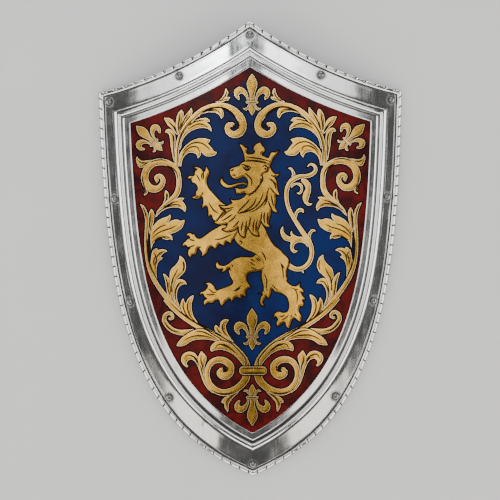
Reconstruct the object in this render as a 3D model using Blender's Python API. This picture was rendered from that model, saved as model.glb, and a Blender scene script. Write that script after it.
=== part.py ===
"""Heater shield: a painted steel panel in a pressed steel border with a roped edge.

Metres, +Z up. The shield lies on its back, face up, with its peak towards +Y. It rests on
three small flats at z = 0, under its two top corners and its tip.
"""

import math

import bmesh
import bpy
from mathutils import Matrix, Vector
from mathutils.geometry import delaunay_2d_cdt, intersect_line_line_2d

# Outline, seen from the front
HEIGHT = 0.700
WIDTH = 0.468
CORNER_DROP = 0.108
TOP_ARC_RADIUS = 0.660
SIDE_LEAN = math.radians(1.6)
SIDE_HANDLE = 0.315
TIP_HALF_ANGLE = math.radians(67.4)
TIP_HANDLE = 0.214

# Curve of the face, across and along
CROSS_RADIUS = 0.82
LENGTH_RADIUS = 3.6

# Sheets, and the space left between pieces that touch
PANEL_THICKNESS = 0.0012
SHEET = 0.0015
CLEARANCE = 0.0003
PANEL_INSET = 0.0105

# Width of the border along the top edges, down the sides and at the tip, and the shares
# of the side curve between which it swells from one to the other
BORDER_TOP = 0.0586
BORDER_SIDE = 0.0475
BORDER_TIP = 0.0600
SWELL_START = 0.30
SWELL_END = 0.85

# Rolled edge with its rope notches
ROLL_DIAMETER = 0.0076
ROLL_CENTRE = 0.0014
QUIRK_WIDTH = 0.0024
QUIRK_DEPTH = 0.0008
ROPE_PITCH = 0.0156
NOTCH_WIDTH = 0.0020
NOTCH_DEPTH = 0.0016

# Mouldings, from the panel outwards, with the hollow's floor as shares of its width
BAND_WIDTH = 0.0094
BAND_CHAMFER = 0.0006
HOLLOW_WIDTH = 0.0050
HOLLOW_DEPTH = 0.0008
HOLLOW_FLOOR = (0.7, 0.3)
BEAD_WIDTH = 0.0102
BEAD_HEIGHT = 0.0032
GROOVE_WIDTH = 0.0020
GROOVE_DEPTH = 0.0009

# Rivets, the taper of their tails, their distance from the outer edge, and their places as
# shares of each edge
RIVET_HEAD = 0.0108
RIVET_DOME = 0.0034
RIVET_SHANK = 0.0050
RIVET_TAIL = 0.0080
RIVET_TAIL_HEIGHT = 0.0012
RIVET_TAIL_TAPER = 0.8
RIVET_LINE_TOP = 0.0180
RIVET_LINE_SIDE = 0.0158
TOP_RIVET_SHARE = 0.52
SIDE_RIVET_SHARES = (0.235, 0.487, 0.737)

# Depth of the three flats cut into the underside of the rolled edge
FLAT_DEPTH = 0.0008

# Sums of the sizes above
FLANGE_START = ROLL_DIAMETER + QUIRK_WIDTH
MOULDING_WIDTH = BAND_WIDTH + HOLLOW_WIDTH + BEAD_WIDTH + GROOVE_WIDTH
BORDER_FRONT = CLEARANCE + SHEET
RIVETED_STACK = BORDER_FRONT + PANEL_THICKNESS

# Fineness of the meshes, with the space between the panel's grid and its outline as a share
# of the grid's pitch
CURVE_STEPS = 120
ROLL_ANGLES = (315, 270, 225, 180, 135, 90, 45)
NOTCHED_ANGLES = (180, 135, 90)
BEAD_STEPS = 6
PANEL_GRID = 0.036
GRID_MARGIN = 0.6
RIVET_SIDES = 10
DOME_RINGS = 3
HOLE_OVERRUN = 0.002
SHARP_ANGLE = math.radians(38)


def clear_scene():
    for obj in list(bpy.data.objects):
        bpy.data.objects.remove(obj, do_unlink=True)


def new_material(name, colour, roughness, metallic):
    material = bpy.data.materials.new(name)
    material.use_nodes = True
    shader = material.node_tree.nodes["Principled BSDF"]
    shader.inputs["Base Color"].default_value = (*colour, 1.0)
    shader.inputs["Roughness"].default_value = roughness
    shader.inputs["Metallic"].default_value = metallic
    return material


def add_object(name, bm, material):
    """Links a closed mesh as one named object, with its faces turned outward."""
    bmesh.ops.recalc_face_normals(bm, faces=bm.faces)
    mesh = bpy.data.meshes.new(name)
    bm.to_mesh(mesh)
    bm.free()
    mesh.shade_smooth()
    mesh.set_sharp_from_angle(angle=SHARP_ANGLE)
    mesh.materials.append(material)
    obj = bpy.data.objects.new(name, mesh)
    bpy.context.scene.collection.objects.link(obj)
    return obj


def top_curve(share):
    """Right half of the top: a hollow arc from the peak down to the corner."""
    peak = Vector((0.0, HEIGHT / 2))
    corner = Vector((WIDTH / 2, HEIGHT / 2 - CORNER_DROP))
    chord = corner - peak
    outward = Vector((-chord.y, chord.x)).normalized()
    rise = math.sqrt(TOP_ARC_RADIUS**2 - (chord.length / 2) ** 2)
    centre = (peak + corner) / 2 + outward * rise
    half_turn = math.asin(chord.length / 2 / TOP_ARC_RADIUS)
    angle = half_turn * (2 * share - 1)
    along = chord.normalized()
    return centre + TOP_ARC_RADIUS * (along * math.sin(angle) - outward * math.cos(angle))


def side_curve(share):
    """Right side: one swelling curve from the corner to the tip."""
    corner = Vector((WIDTH / 2, HEIGHT / 2 - CORNER_DROP))
    tip = Vector((0.0, -HEIGHT / 2))
    below = corner - SIDE_HANDLE * Vector((math.sin(SIDE_LEAN), math.cos(SIDE_LEAN)))
    above = tip + TIP_HANDLE * Vector((math.sin(TIP_HALF_ANGLE), math.cos(TIP_HALF_ANGLE)))
    rest = 1 - share
    return (
        rest**3 * corner
        + 3 * rest**2 * share * below
        + 3 * rest * share**2 * above
        + share**3 * tip
    )


def inset_curve(curve, distance):
    """Points of a curve moved inward by distance(share)."""
    points = [curve(step / CURVE_STEPS) for step in range(CURVE_STEPS + 1)]
    moved = []
    for step, point in enumerate(points):
        ahead = points[min(step + 1, CURVE_STEPS)] - points[max(step - 1, 0)]
        inward = Vector((ahead.y, -ahead.x)).normalized()
        moved.append(point + inward * distance(step / CURVE_STEPS))
    return moved


def trim_at_axis(points):
    """Drops the end of a line that has crossed to the shield's left half."""
    kept = [points[0]]
    for before, after in zip(points, points[1:]):
        if after.x <= 0.0:
            kept.append(before.lerp(after, before.x / (before.x - after.x)))
            break
        kept.append(after)
    return kept


def trim_at_corner(top, side):
    """Cuts the top line and the side line where they cross, at the mitre."""
    for first in range(len(top) - 1, 0, -1):
        for second in range(len(side) - 1):
            crossing = intersect_line_line_2d(
                top[first - 1], top[first], side[second], side[second + 1]
            )
            if crossing:
                return top[:first] + [crossing], [crossing] + side[second + 1 :]
    return top, [top[-1]] + side


def border_width(edge, share):
    """Border width at a share of one edge: edge 0 is the top and 1 the side."""
    if edge == 0:
        return BORDER_TOP
    swell = min(max((share - SWELL_START) / (SWELL_END - SWELL_START), 0.0), 1.0)
    return BORDER_SIDE + (BORDER_TIP - BORDER_SIDE) * swell**2 * (3 - 2 * swell)


class Ring:
    """A closed line round the shield, at a set distance inside its outer edge.

    A place on it is a number: 0 is the peak, 1 the right corner, 2 the tip, 3 the left
    corner and 4 the peak again.
    """

    def __init__(self, distance):
        top = inset_curve(top_curve, lambda share: distance(0, share))
        side = inset_curve(side_curve, lambda share: distance(1, share))
        top = trim_at_axis(top[::-1])[::-1]
        top, side = trim_at_corner(top, side)
        self.lines = [top, trim_at_axis(side)]
        self.lengths = [
            sum((after - before).length for before, after in zip(line, line[1:]))
            for line in self.lines
        ]

    def at(self, place):
        mirrored = place > 2
        if mirrored:
            place = 4 - place
        edge = 0 if place < 1 else 1
        line = self.lines[edge]
        left = (place - edge) * self.lengths[edge]
        point = line[-1]
        for before, after in zip(line, line[1:]):
            step = (after - before).length
            if left <= step:
                point = before.lerp(after, left / step)
                break
            left -= step
        return Vector((-point.x, point.y)) if mirrored else point

    def half_width(self, y):
        """Distance from the middle to the line at one height of the shield."""
        line = self.lines[0] + self.lines[1][1:]
        for before, after in zip(line, line[1:]):
            if before.y >= y > after.y:
                return before.lerp(after, (before.y - y) / (before.y - after.y)).x
        return 0.0


def from_edge(distance):
    """A line at one distance from the outer edge all the way round."""
    return Ring(lambda edge, share: distance)


def from_panel(distance):
    """A line at one distance outside the panel's visible edge."""
    return Ring(lambda edge, share: border_width(edge, share) - distance)


def rivet_line():
    """The line along the flange on which the rivets stand."""
    return Ring(lambda edge, share: RIVET_LINE_SIDE if edge else RIVET_LINE_TOP)


class Face:
    """The shield's curved front: a height for each place, with the rest points level."""

    def __init__(self):
        underside = from_edge(ROLL_DIAMETER / 2)
        corner, tip = underside.at(1), underside.at(2)
        self.lean = (self.drop(corner) - self.drop(tip)) / (corner.y - tip.y)
        self.rise = 0.0
        places = [2 * step / CURVE_STEPS for step in range(CURVE_STEPS + 1)]
        lowest = min(self.height(underside.at(place)) for place in places)
        self.rise = ROLL_DIAMETER / 2 - ROLL_CENTRE - FLAT_DEPTH - lowest

    def drop(self, point):
        return point.x**2 / (2 * CROSS_RADIUS) + point.y**2 / (2 * LENGTH_RADIUS)

    def height(self, point):
        return self.rise + self.lean * point.y - self.drop(point)

    def lift(self, point, above):
        """The place straight above or below a point of the face."""
        return Vector((point.x, point.y, self.height(point) + above))

    def normal(self, point):
        slope_x = point.x / CROSS_RADIUS
        slope_y = point.y / LENGTH_RADIUS - self.lean
        return Vector((slope_x, slope_y, 1.0)).normalized()


def section_counts():
    """Sections on one half's top and side: one at every second rope notch."""
    outer = from_edge(0.0)
    return [round(length / ROPE_PITCH / 2) for length in outer.lengths]


def plain_places(top_count, side_count):
    """Places of the border's sections, all the way round."""
    places = []
    for edge, count in enumerate((top_count, side_count, side_count, top_count)):
        places += [edge + step / count for step in range(count)]
    return places


def notched_places(ring, top_count, side_count):
    """(place, whether it is a notch's floor) for each corner and each notch's lips and floor."""
    places = []
    for edge, count in enumerate((top_count, side_count, side_count, top_count)):
        lip = NOTCH_WIDTH / 2 / ring.lengths[0 if edge in (0, 3) else 1]
        places.append((edge, False))
        for notch in range(2 * count):
            middle = edge + (notch + 0.5) / 2 / count
            places += [(middle - lip, False), (middle, True), (middle + lip, False)]
    return places


def roll_line(angle, depth):
    """(line, height) at an angle round the rolled edge: 180 is outermost, 90 is on top."""
    turn = math.radians(angle)
    radius = ROLL_DIAMETER / 2
    reach = radius - depth
    return from_edge(radius + reach * math.cos(turn)), ROLL_CENTRE + reach * math.sin(turn)


def roll_row(face, angle, counts):
    crest, crest_height = roll_line(angle, 0.0)
    if angle not in NOTCHED_ANGLES:
        return plain_row(face, crest, crest_height, counts)
    floor, floor_height = roll_line(angle, NOTCH_DEPTH)
    row = []
    for place, is_floor in notched_places(crest, *counts):
        if is_floor:
            row.append((place, face.lift(floor.at(place), floor_height)))
        else:
            row.append((place, face.lift(crest.at(place), crest_height)))
    return row


def plain_row(face, ring, height, counts):
    return [(place, face.lift(ring.at(place), height)) for place in plain_places(*counts)]


def moulding_lines():
    """(line, height) of each row from the quirk over the front and back along the underside."""
    quirk_floor = from_edge(ROLL_DIAMETER + QUIRK_WIDTH / 2)
    bead_start = BAND_WIDTH + HOLLOW_WIDTH
    bead_middle = bead_start + BEAD_WIDTH / 2
    lines = [
        (quirk_floor, BORDER_FRONT - QUIRK_DEPTH),
        (from_edge(FLANGE_START), BORDER_FRONT),
        (from_panel(MOULDING_WIDTH), BORDER_FRONT),
        (from_panel(MOULDING_WIDTH - GROOVE_WIDTH / 2), BORDER_FRONT - GROOVE_DEPTH),
    ]
    for step in range(BEAD_STEPS + 1):
        turn = math.pi * step / BEAD_STEPS
        across = bead_middle + BEAD_WIDTH / 2 * math.cos(turn)
        lines.append((from_panel(across), BORDER_FRONT + BEAD_HEIGHT * math.sin(turn)))
    for share in HOLLOW_FLOOR:
        across = BAND_WIDTH + HOLLOW_WIDTH * share
        lines.append((from_panel(across), BORDER_FRONT - HOLLOW_DEPTH))
    lines += [
        (from_panel(BAND_WIDTH), BORDER_FRONT),
        (from_panel(BAND_CHAMFER), BORDER_FRONT),
        (from_panel(0.0), BORDER_FRONT - BAND_CHAMFER),
        (from_panel(0.0), CLEARANCE),
    ]
    for step in range(BEAD_STEPS, -1, -2):
        turn = math.pi * step / BEAD_STEPS
        across = bead_middle + (BEAD_WIDTH / 2 - SHEET) * math.cos(turn)
        lines.append((from_panel(across), CLEARANCE + BEAD_HEIGHT * math.sin(turn)))
    lines.append((quirk_floor, CLEARANCE))
    return lines


def join_rows(bm, first, second):
    """Faces between two closed rows of (place, vertex), which may differ in number."""
    a = b = 0
    while a < len(first) or b < len(second):
        here_a, here_b = first[a % len(first)][1], second[b % len(second)][1]
        ahead_a, ahead_b = first[(a + 1) % len(first)][1], second[(b + 1) % len(second)][1]
        if len(first) == len(second):
            bm.faces.new((here_a, ahead_a, ahead_b, here_b))
            a += 1
            b += 1
            continue
        place_a = first[a + 1][0] if a + 1 < len(first) else 4.0 + (a == len(first))
        place_b = second[b + 1][0] if b + 1 < len(second) else 4.0 + (b == len(second))
        if place_a <= place_b:
            bm.faces.new((here_a, ahead_a, here_b))
            a += 1
        else:
            bm.faces.new((here_a, ahead_b, here_b))
            b += 1


def cut_flats(bm):
    """Takes off what lies below the ground, which leaves the three flats."""
    parts = bm.verts[:] + bm.edges[:] + bm.faces[:]
    bmesh.ops.bisect_plane(
        bm, geom=parts, dist=1e-7, plane_co=(0, 0, 0), plane_no=(0, 0, -1), clear_outer=True
    )
    open_edges = [edge for edge in bm.edges if edge.is_boundary]
    bmesh.ops.holes_fill(bm, edges=open_edges, sides=0)


def build_border(face, counts, material):
    rows = [roll_row(face, angle, counts) for angle in ROLL_ANGLES]
    rows += [plain_row(face, ring, height, counts) for ring, height in moulding_lines()]
    bm = bmesh.new()
    rows = [[(place, bm.verts.new(point)) for place, point in row] for row in rows]
    for first, second in zip(rows, rows[1:] + rows[:1]):
        join_rows(bm, first, second)
    cut_flats(bm)
    return add_object("border", bm, material)


def panel_points(ring, counts):
    """The panel's outline, then a grid of points inside it that carries its curve."""
    points = [ring.at(place) for place in plain_places(*counts)]
    rows = round(HEIGHT / PANEL_GRID)
    for row in range(1, rows):
        y = HEIGHT / 2 - HEIGHT * row / rows
        reach = ring.half_width(y) - PANEL_GRID * GRID_MARGIN
        columns = max(1, round(2 * reach / PANEL_GRID))
        if reach > 0.0:
            points += [Vector((reach * (2 * c / columns - 1), y)) for c in range(columns + 1)]
    return points


def build_panel(face, counts, material):
    """The painted plate, which reaches under the border to its rolled edge."""
    points = panel_points(from_edge(PANEL_INSET), counts)
    outline = list(range(len(plain_places(*counts))))
    flat, _, triangles, *_ = delaunay_2d_cdt(points, [], [outline], 1, 1e-6)
    bm = bmesh.new()
    front = [bm.verts.new(face.lift(point, 0.0)) for point in flat]
    for triangle in triangles:
        bm.faces.new([front[corner] for corner in triangle])
    made = bmesh.ops.extrude_face_region(bm, geom=bm.faces[:], use_keep_orig=True)
    back = [part for part in made["geom"] if isinstance(part, bmesh.types.BMVert)]
    bmesh.ops.translate(bm, verts=back, vec=(0.0, 0.0, -PANEL_THICKNESS))
    return add_object("panel", bm, material)


def turned(bm, profile, place):
    """Adds a round solid to bm: (radius, height) points, turned about the Z axis of place."""
    rings = []
    for radius, height in profile:
        sides = RIVET_SIDES if radius > 0.0 else 1
        turns = [2 * math.pi * side / sides for side in range(sides)]
        spots = [Vector((radius * math.cos(a), radius * math.sin(a), height)) for a in turns]
        rings.append([bm.verts.new(place @ spot) for spot in spots])
    for upper, lower in zip(rings, rings[1:]):
        for side in range(RIVET_SIDES):
            ahead = (side + 1) % RIVET_SIDES
            corners = [upper[side % len(upper)], upper[ahead % len(upper)]]
            corners += [lower[ahead % len(lower)], lower[side % len(lower)]]
            bm.faces.new(list(dict.fromkeys(corners)))


def rivet_profile():
    """Half section of a set rivet, from the top of its dome to the end of its tail."""
    dome_turns = [math.pi / 2 * ring / DOME_RINGS for ring in range(DOME_RINGS + 1)]
    dome = [
        (RIVET_HEAD / 2 * math.sin(turn), CLEARANCE + RIVET_DOME * math.cos(turn))
        for turn in dome_turns
    ]
    seat = -RIVETED_STACK - CLEARANCE
    return dome + [
        (RIVET_SHANK / 2, CLEARANCE),
        (RIVET_SHANK / 2, seat),
        (RIVET_TAIL / 2, seat),
        (RIVET_TAIL / 2 * RIVET_TAIL_TAPER, seat - RIVET_TAIL_HEIGHT),
        (0.0, seat - RIVET_TAIL_HEIGHT),
    ]


def rivet_places():
    """(name, place on the flange) of each rivet."""
    places = [("peak", 0.0), ("tip", 2.0)]
    right = [("top", TOP_RIVET_SHARE), ("corner", 1.0)]
    for number, share in enumerate(SIDE_RIVET_SHARES, 1):
        right.append((f"side_{number}", 1.0 + share))
    for name, place in right:
        places += [(f"{name}_right", place), (f"{name}_left", 4.0 - place)]
    return places


def rivet_axes(face):
    """(name, matrix) with each rivet's foot on the flange and its axis square to the face."""
    line = rivet_line()
    axes = []
    for name, place in rivet_places():
        point = line.at(place)
        turn = face.normal(point).to_track_quat("Z", "Y").to_matrix().to_4x4()
        axes.append((name, Matrix.Translation(face.lift(point, BORDER_FRONT)) @ turn))
    return axes


def build_rivets(face, material):
    bm = bmesh.new()
    turned(bm, rivet_profile(), Matrix.Identity(4))
    first = add_object("rivet", bm, material)
    for name, place in rivet_axes(face):
        rivet = bpy.data.objects.new(f"rivet_{name}", first.data)
        rivet.matrix_world = place
        bpy.context.scene.collection.objects.link(rivet)
    bpy.data.objects.remove(first, do_unlink=True)


def build_hole_cutter(face, material):
    """All the rivet holes as one cutter, wider than the shanks by the clearance."""
    radius = RIVET_SHANK / 2 + CLEARANCE
    bottom = -RIVETED_STACK - HOLE_OVERRUN
    profile = [(0.0, HOLE_OVERRUN), (radius, HOLE_OVERRUN), (radius, bottom), (0.0, bottom)]
    bm = bmesh.new()
    for _, place in rivet_axes(face):
        turned(bm, profile, place)
    cutter = add_object("rivet_holes", bm, material)
    cutter.hide_render = True
    cutter.display_type = "WIRE"
    return cutter


def cut_holes(obj, cutter):
    holes = obj.modifiers.new("Rivet holes", "BOOLEAN")
    holes.operation = "DIFFERENCE"
    holes.solver = "EXACT"
    holes.object = cutter


def main():
    clear_scene()
    steel = new_material("polished_steel", (0.74, 0.74, 0.73), 0.22, 1.0)
    rivet_steel = new_material("rivet_steel", (0.70, 0.70, 0.69), 0.28, 1.0)
    paint = new_material("painted_steel", (0.02, 0.03, 0.14), 0.35, 0.0)
    face = Face()
    counts = section_counts()
    border = build_border(face, counts, steel)
    panel = build_panel(face, counts, paint)
    build_rivets(face, rivet_steel)
    cutter = build_hole_cutter(face, steel)
    cut_holes(border, cutter)
    cut_holes(panel, cutter)


main()
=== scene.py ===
import math

import bmesh
import bpy
import numpy as np
from mathutils import Matrix, Vector, noise
from mathutils.geometry import delaunay_2d_cdt


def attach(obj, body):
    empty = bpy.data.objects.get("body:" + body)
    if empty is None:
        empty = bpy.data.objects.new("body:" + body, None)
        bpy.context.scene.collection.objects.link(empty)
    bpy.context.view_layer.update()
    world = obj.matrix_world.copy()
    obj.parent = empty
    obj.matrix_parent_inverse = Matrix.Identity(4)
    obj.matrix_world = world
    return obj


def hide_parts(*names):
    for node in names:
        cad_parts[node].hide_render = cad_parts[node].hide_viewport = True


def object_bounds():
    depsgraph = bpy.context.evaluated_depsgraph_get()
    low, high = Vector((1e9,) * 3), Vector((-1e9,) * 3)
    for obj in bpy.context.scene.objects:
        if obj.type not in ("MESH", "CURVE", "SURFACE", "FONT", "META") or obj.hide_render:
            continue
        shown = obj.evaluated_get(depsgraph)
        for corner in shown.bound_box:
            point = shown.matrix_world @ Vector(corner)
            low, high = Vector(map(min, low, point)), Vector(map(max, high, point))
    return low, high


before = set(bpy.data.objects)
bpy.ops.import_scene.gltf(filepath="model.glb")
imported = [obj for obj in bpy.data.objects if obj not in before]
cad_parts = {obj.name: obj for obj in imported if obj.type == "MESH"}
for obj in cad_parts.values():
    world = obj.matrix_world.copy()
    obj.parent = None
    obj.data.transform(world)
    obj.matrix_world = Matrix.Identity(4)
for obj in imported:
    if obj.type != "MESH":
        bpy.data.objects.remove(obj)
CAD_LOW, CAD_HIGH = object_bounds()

bl_info = {
    "name": "Heater shield",
    "version": (1, 0, 0),
    "blender": (4, 5, 0),
    "location": "3D View > Sidebar > Shield",
    "description": "Builds a painted and gilded heater shield with a roped steel border",
    "category": "Add Mesh",
}

# The photograph: the pixel on the shield's middle, its turn, its own middle and side, and the
# size of a pixel on the shield, whose middle lies a little below the pixel's
PHOTO_MIDDLE = np.array((251.32, 249.0))
PHOTO_TURN = 0.0073
PHOTO_CENTRE = np.array((250.0, 250.0))
PHOTO_SIDE = 500
PIXEL = 0.0015402
MIDDLE_DROP = 0.00069

# Fineness of drawn lines and of the face, how near a straight line a point is left out of an
# outline, and how near each other two points merge, in metres
LINE_STEP = 0.0011
FACE_STEP = 0.010
STRAIGHT = 0.00004
SHORTEST_EDGE = 0.000001
MERGED = 0.000002
MILLIMETRES = 1000.0
MEETING_IN_MILLIMETRES = 0.0001

# Numbers below this count as nothing
TINY = 1e-9

# A moved outline keeps the points that are nearly the whole distance from the old one, and
# some way from each other, as shares of the distance
MOVED_ENOUGH = 0.97
MOVED_APART = 0.15

# Fineness of the border, the panel's edge and the rivets
CURVE_STEPS = 400
CAP_STEPS = 6
PANEL_SIDES = 480
BEAD_STEPS = 16
RIVET_SIDES = 32
DOME_RINGS = 8
SHARP_ANGLE = math.radians(38)

# Widths of the engraved lines as drawn, in pixels, and how much heavier they are cut
FINE_LINE = 0.5
LEAF_LINE = 0.55
LION_LINE = 0.6
ENGRAVER = 2.6

# Engraved shadow lines: the shortest, the least lean down and to the right of an edge that
# has one, the sharpest bend that they follow, and the second line as shares of the first
SHORTEST_SHADOW = 0.006
SHADOW_LEAN = 0.55
SHADOW_BEND = 0.6
SECOND_INSET = 1.9
SECOND_WIDTH = 0.7

# Angles of the rolled edge's rows, from under its inner side over its outer side
ROLL_ANGLES = (315, 270, 245, 225, 207, 192, 180, 165, 150, 135, 120, 105, 90, 75, 60, 45, 30, 15)

# Each rope notch's section: shares of half its width with shares of its depth and of its painted shadow,
# and the angles on the roll between which it starts, ends, halves its depth and darkens with painted shadow
NOTCH_SECTION = (
    (-1.4, 0.0, 0.0), (-1.05, 0.12, 1.0), (-0.5, 0.6, 1.0), (0.0, 1.0, 1.0),
    (0.5, 0.6, 1.0), (1.05, 0.12, 1.0), (1.4, 0.0, 0.0),
)
NOTCH_STARTS = (75, 100)
NOTCH_ENDS = (235, 205)
NOTCH_HALVES = (130, 170)
NOTCH_PAINTED_SHADOW = (55, 75)

# Rows across the mouldings, as shares of each one's width. The quirk's have shares of its
# depth and their painted shade, and the hollow's have their painted shade near the top and near the tip
QUIRK_ROWS = ((0.02, 0.8, 1.0), (0.25, 1.0, 1.0), (0.6, 0.95, 0.8), (0.85, 0.5, 0.4), (0.97, 0.1, 0.1))
FLANGE_SHARES = (0.08, 0.17, 0.26, 0.35, 0.44, 0.54, 0.65, 0.8, 0.96)
GROOVE_SHARES = (0.0, 0.15, 0.35, 0.5, 0.65, 0.85)
HOLLOW_ROWS = ((0.9, 1.0, 1.0), (0.75, 0.95, 1.0), (0.6, 0.55, 1.0), (0.4, 0.1, 0.95), (0.2, 0.0, 0.6))
BAND_SHARES = (1.0, 0.95, 0.6, 0.3)
CHAMFER_SHARES = (1.0, 0.6, 0.25, 0.0)

# Painted shade: the heights on the shield where it starts to widen in the mouldings and is widest, the
# shade under the border and under the roll, and the reach and strength of the painted shadow round a rivet
# and of the painted shade on its dome
SHADE_STARTS = 0.05
SHADE_WIDEST = -0.28
SHADE_BEHIND = 0.4
SHADE_UNDER_ROLL = 0.7
RIVET_SHADOW_REACH = 0.0027
HALO_SHADOW = 0.95
DOME_SHADE = 0.8
DOME_SHADE_SHARES = (0.6, 0.9)

# A rivet's clenched tail: shares of its radius and of its height, and its darkening
TAIL_PROFILE = ((1.0, 0.0, 0.6), (0.94, 0.5, 0.3), (0.8, 1.0, 0.3), (0.0, 1.0, 0.3))

# Hand-worked unevenness: lengths of its waves, the fine waves' share of the height, and
# dents (pixel of the photo, radius, depth)
WAVE_ROLL = 0.050
WAVE_LONG = 0.060
WAVE_SHORT = 0.014
FINE_WAVES = 0.15
DENTS = (
    ((251.7, 54.6), 0.0011, 0.0012),
    ((118.0, 168.0), 0.006, 0.0003),
    ((386.0, 214.0), 0.007, 0.0003),
    ((205.0, 424.0), 0.005, 0.0003),
)

# Stage: camera, the face's height below it, floor and world
CAMERA_HEIGHT = 8.0
FACE_HEIGHT = 0.010
SENSOR = 36.0
FLOOR_REACH = 6.0
FLOOR_LEVEL = -0.0001
WORLD_LIGHT = 0.09

# Softboxes: name, place, size, turns about X, Y and Z in degrees, power and colour. Each is
# repeated on the left, where the last share scales its power
SOFTBOXES = (
    ("upper", (0.465, 0.20, 1.5), (0.71, 0.80), (0, 0, 4.5), 3.6, (1.0, 1.0, 1.0), 1.0),
    ("lower", (0.46, -0.50, 1.5), (0.44, 0.62), (0, 0, 6), 1.8, (1.0, 0.96, 0.89), 1.0),
    ("side", (2.1, 0.25, 1.0), (1.8, 2.0), (0, 90, 0), 44.0, (1.0, 1.0, 1.0), 1.0),
    ("crown", (0.30, 0.56, 1.48), (0.34, 0.26), (0, 0, 12), 0.9, (0.92, 0.96, 1.0), 3.0),
    ("head", (0.7, 2.1, 1.0), (1.4, 1.8), (-90, 0, 0), 30.0, (1.0, 1.0, 1.0), 1.0),
    ("flank", (1.65, -1.25, 1.0), (1.8, 1.2), (0, 90, -37), 25.0, (1.0, 0.98, 0.94), 1.0),
    ("foot", (0.6, -2.1, 1.0), (1.2, 1.8), (90, 0, 0), 25.0, (1.0, 0.98, 0.94), 1.0),
)

# The names of the colours that cover the panel, in the order of its material slots
PANEL_COLOURS = ("crimson", "blue", "ink", "vein", "rim", "gold", "shade", "back")


def to_shield(pixels):
    """Places on the shield, in metres, of pixels of the photograph."""
    across, down = (np.asarray(pixels, float) - PHOTO_MIDDLE).T
    x = across - PHOTO_TURN * down
    y = PHOTO_TURN * across + down
    return np.column_stack((PIXEL * x, -PIXEL * y - MIDDLE_DROP))


class Sheet:
    """A drawing sheet: a square of the photograph, divided into fine steps."""

    def __init__(self, left, top, steps_per_pixel):
        self.corner = np.array((left, top))
        self.scale = steps_per_pixel

    def read(self, text):
        """Points (x, y, width) and the corners among them, which end with a star."""
        words = text.split()
        corners = {number for number, word in enumerate(words) if word.endswith("*")}
        rows = [[float(value) for value in word.rstrip("*").split(",")] for word in words]
        values = np.array([row + [0.0] * (3 - len(row)) for row in rows])
        places = to_shield(self.corner + values[:, :2] / self.scale)
        return np.column_stack((places, values[:, 2] / self.scale * PIXEL)), corners

    def shape(self, text):
        """A closed outline through the points."""
        points, corners = self.read(text)
        return spline(points[:, :2], corners, True)

    def stack(self, texts):
        """Closed outlines for a stack, each of which is parted from the others by a line."""
        return [[self.shape(text)] for text in texts]

    def ribbon(self, text):
        """A closed outline of a band that follows the points with their widths."""
        points, corners = self.read(text)
        return band(spline(points, corners, False))

    def lines(self, text, width):
        """Fine strokes, parted by slashes, that swell in their middle."""
        strokes = []
        for part in text.split("/"):
            points, corners = self.read(part)
            strokes.append(stroke(spline(points[:, :2], corners, False), width * ENGRAVER * PIXEL))
        return strokes


def spline(points, corners, closed):
    """A smooth line through the points that turns sharply at the corners."""
    count = len(points)
    spans = count if closed else count - 1
    parts = []
    for here in range(spans):
        a, b = points[here], points[(here + 1) % count]
        starts = here in corners or (not closed and here == 0)
        ends = (here + 1) % count in corners or (not closed and here == spans - 1)
        before = 2 * a - b if starts else points[here - 1]
        after = 2 * b - a if ends else points[(here + 2) % count]
        times = [math.sqrt(max(np.linalg.norm((q - p)[:2]), TINY)) for p, q in
                 ((before, a), (a, b), (b, after))]
        slope_a = (a - before) / times[0] - (b - before) / (times[0] + times[1]) + (b - a) / times[1]
        slope_b = (b - a) / times[1] - (after - a) / (times[1] + times[2]) + (after - b) / times[2]
        steps = max(1, math.ceil(np.linalg.norm((b - a)[:2]) / LINE_STEP))
        t = (np.arange(steps) / steps)[:, None]
        parts.append(
            (2 * t**3 - 3 * t**2 + 1) * a
            + (t**3 - 2 * t**2 + t) * times[1] * slope_a
            + (3 * t**2 - 2 * t**3) * b
            + (t**3 - t**2) * times[1] * slope_b
        )
    if not closed:
        parts.append(points[-1:])
    return np.concatenate(parts)


def sideways(line):
    """Unit directions to the left of an open line at each of its points."""
    along = np.gradient(line[:, :2], axis=0)
    along /= np.maximum(np.linalg.norm(along, axis=1), TINY)[:, None]
    return np.column_stack((-along[:, 1], along[:, 0]))


def band(line):
    """The outline of a line of (x, y, width), with round ends."""
    left = sideways(line) * np.maximum(line[:, 2:], 0.0) / 2
    near, far = line[:, :2] + left, line[:, :2] - left
    return np.concatenate((near, cap(near[-1], far[-1]), far[::-1], cap(far[0], near[0])))


def cap(start, end):
    """Points of a half circle from one point to another."""
    middle, arm = (start + end) / 2, (start - end) / 2
    turns = np.linspace(0, math.pi, CAP_STEPS + 2)[1:-1, None]
    return middle + np.cos(turns) * arm + np.sin(turns) * np.array((arm[1], -arm[0]))


def stroke(line, width):
    """The outline of a fine line, pointed at both ends."""
    share = np.linspace(0, 1, len(line))
    swell = width * np.clip(4 * share * (1 - share), 0.04, 1) ** 0.4
    return band(np.column_stack((line, swell)))


def turned_left(outline):
    """The same outline, run anticlockwise."""
    x, y = outline.T
    area = np.dot(x, np.roll(y, -1)) - np.dot(np.roll(x, -1), y)
    return outline if area > 0 else outline[::-1]


def away_from(points, outline):
    """Each point's distance to a closed outline."""
    start = outline[None]
    along = np.roll(outline, -1, axis=0)[None] - start
    rel = points[:, None] - start
    share = (rel * along).sum(2) / np.maximum((along**2).sum(2), TINY**2)
    nearest = start + np.clip(share, 0, 1)[..., None] * along
    return np.sqrt(((points[:, None] - nearest) ** 2).sum(2)).min(1)


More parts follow.
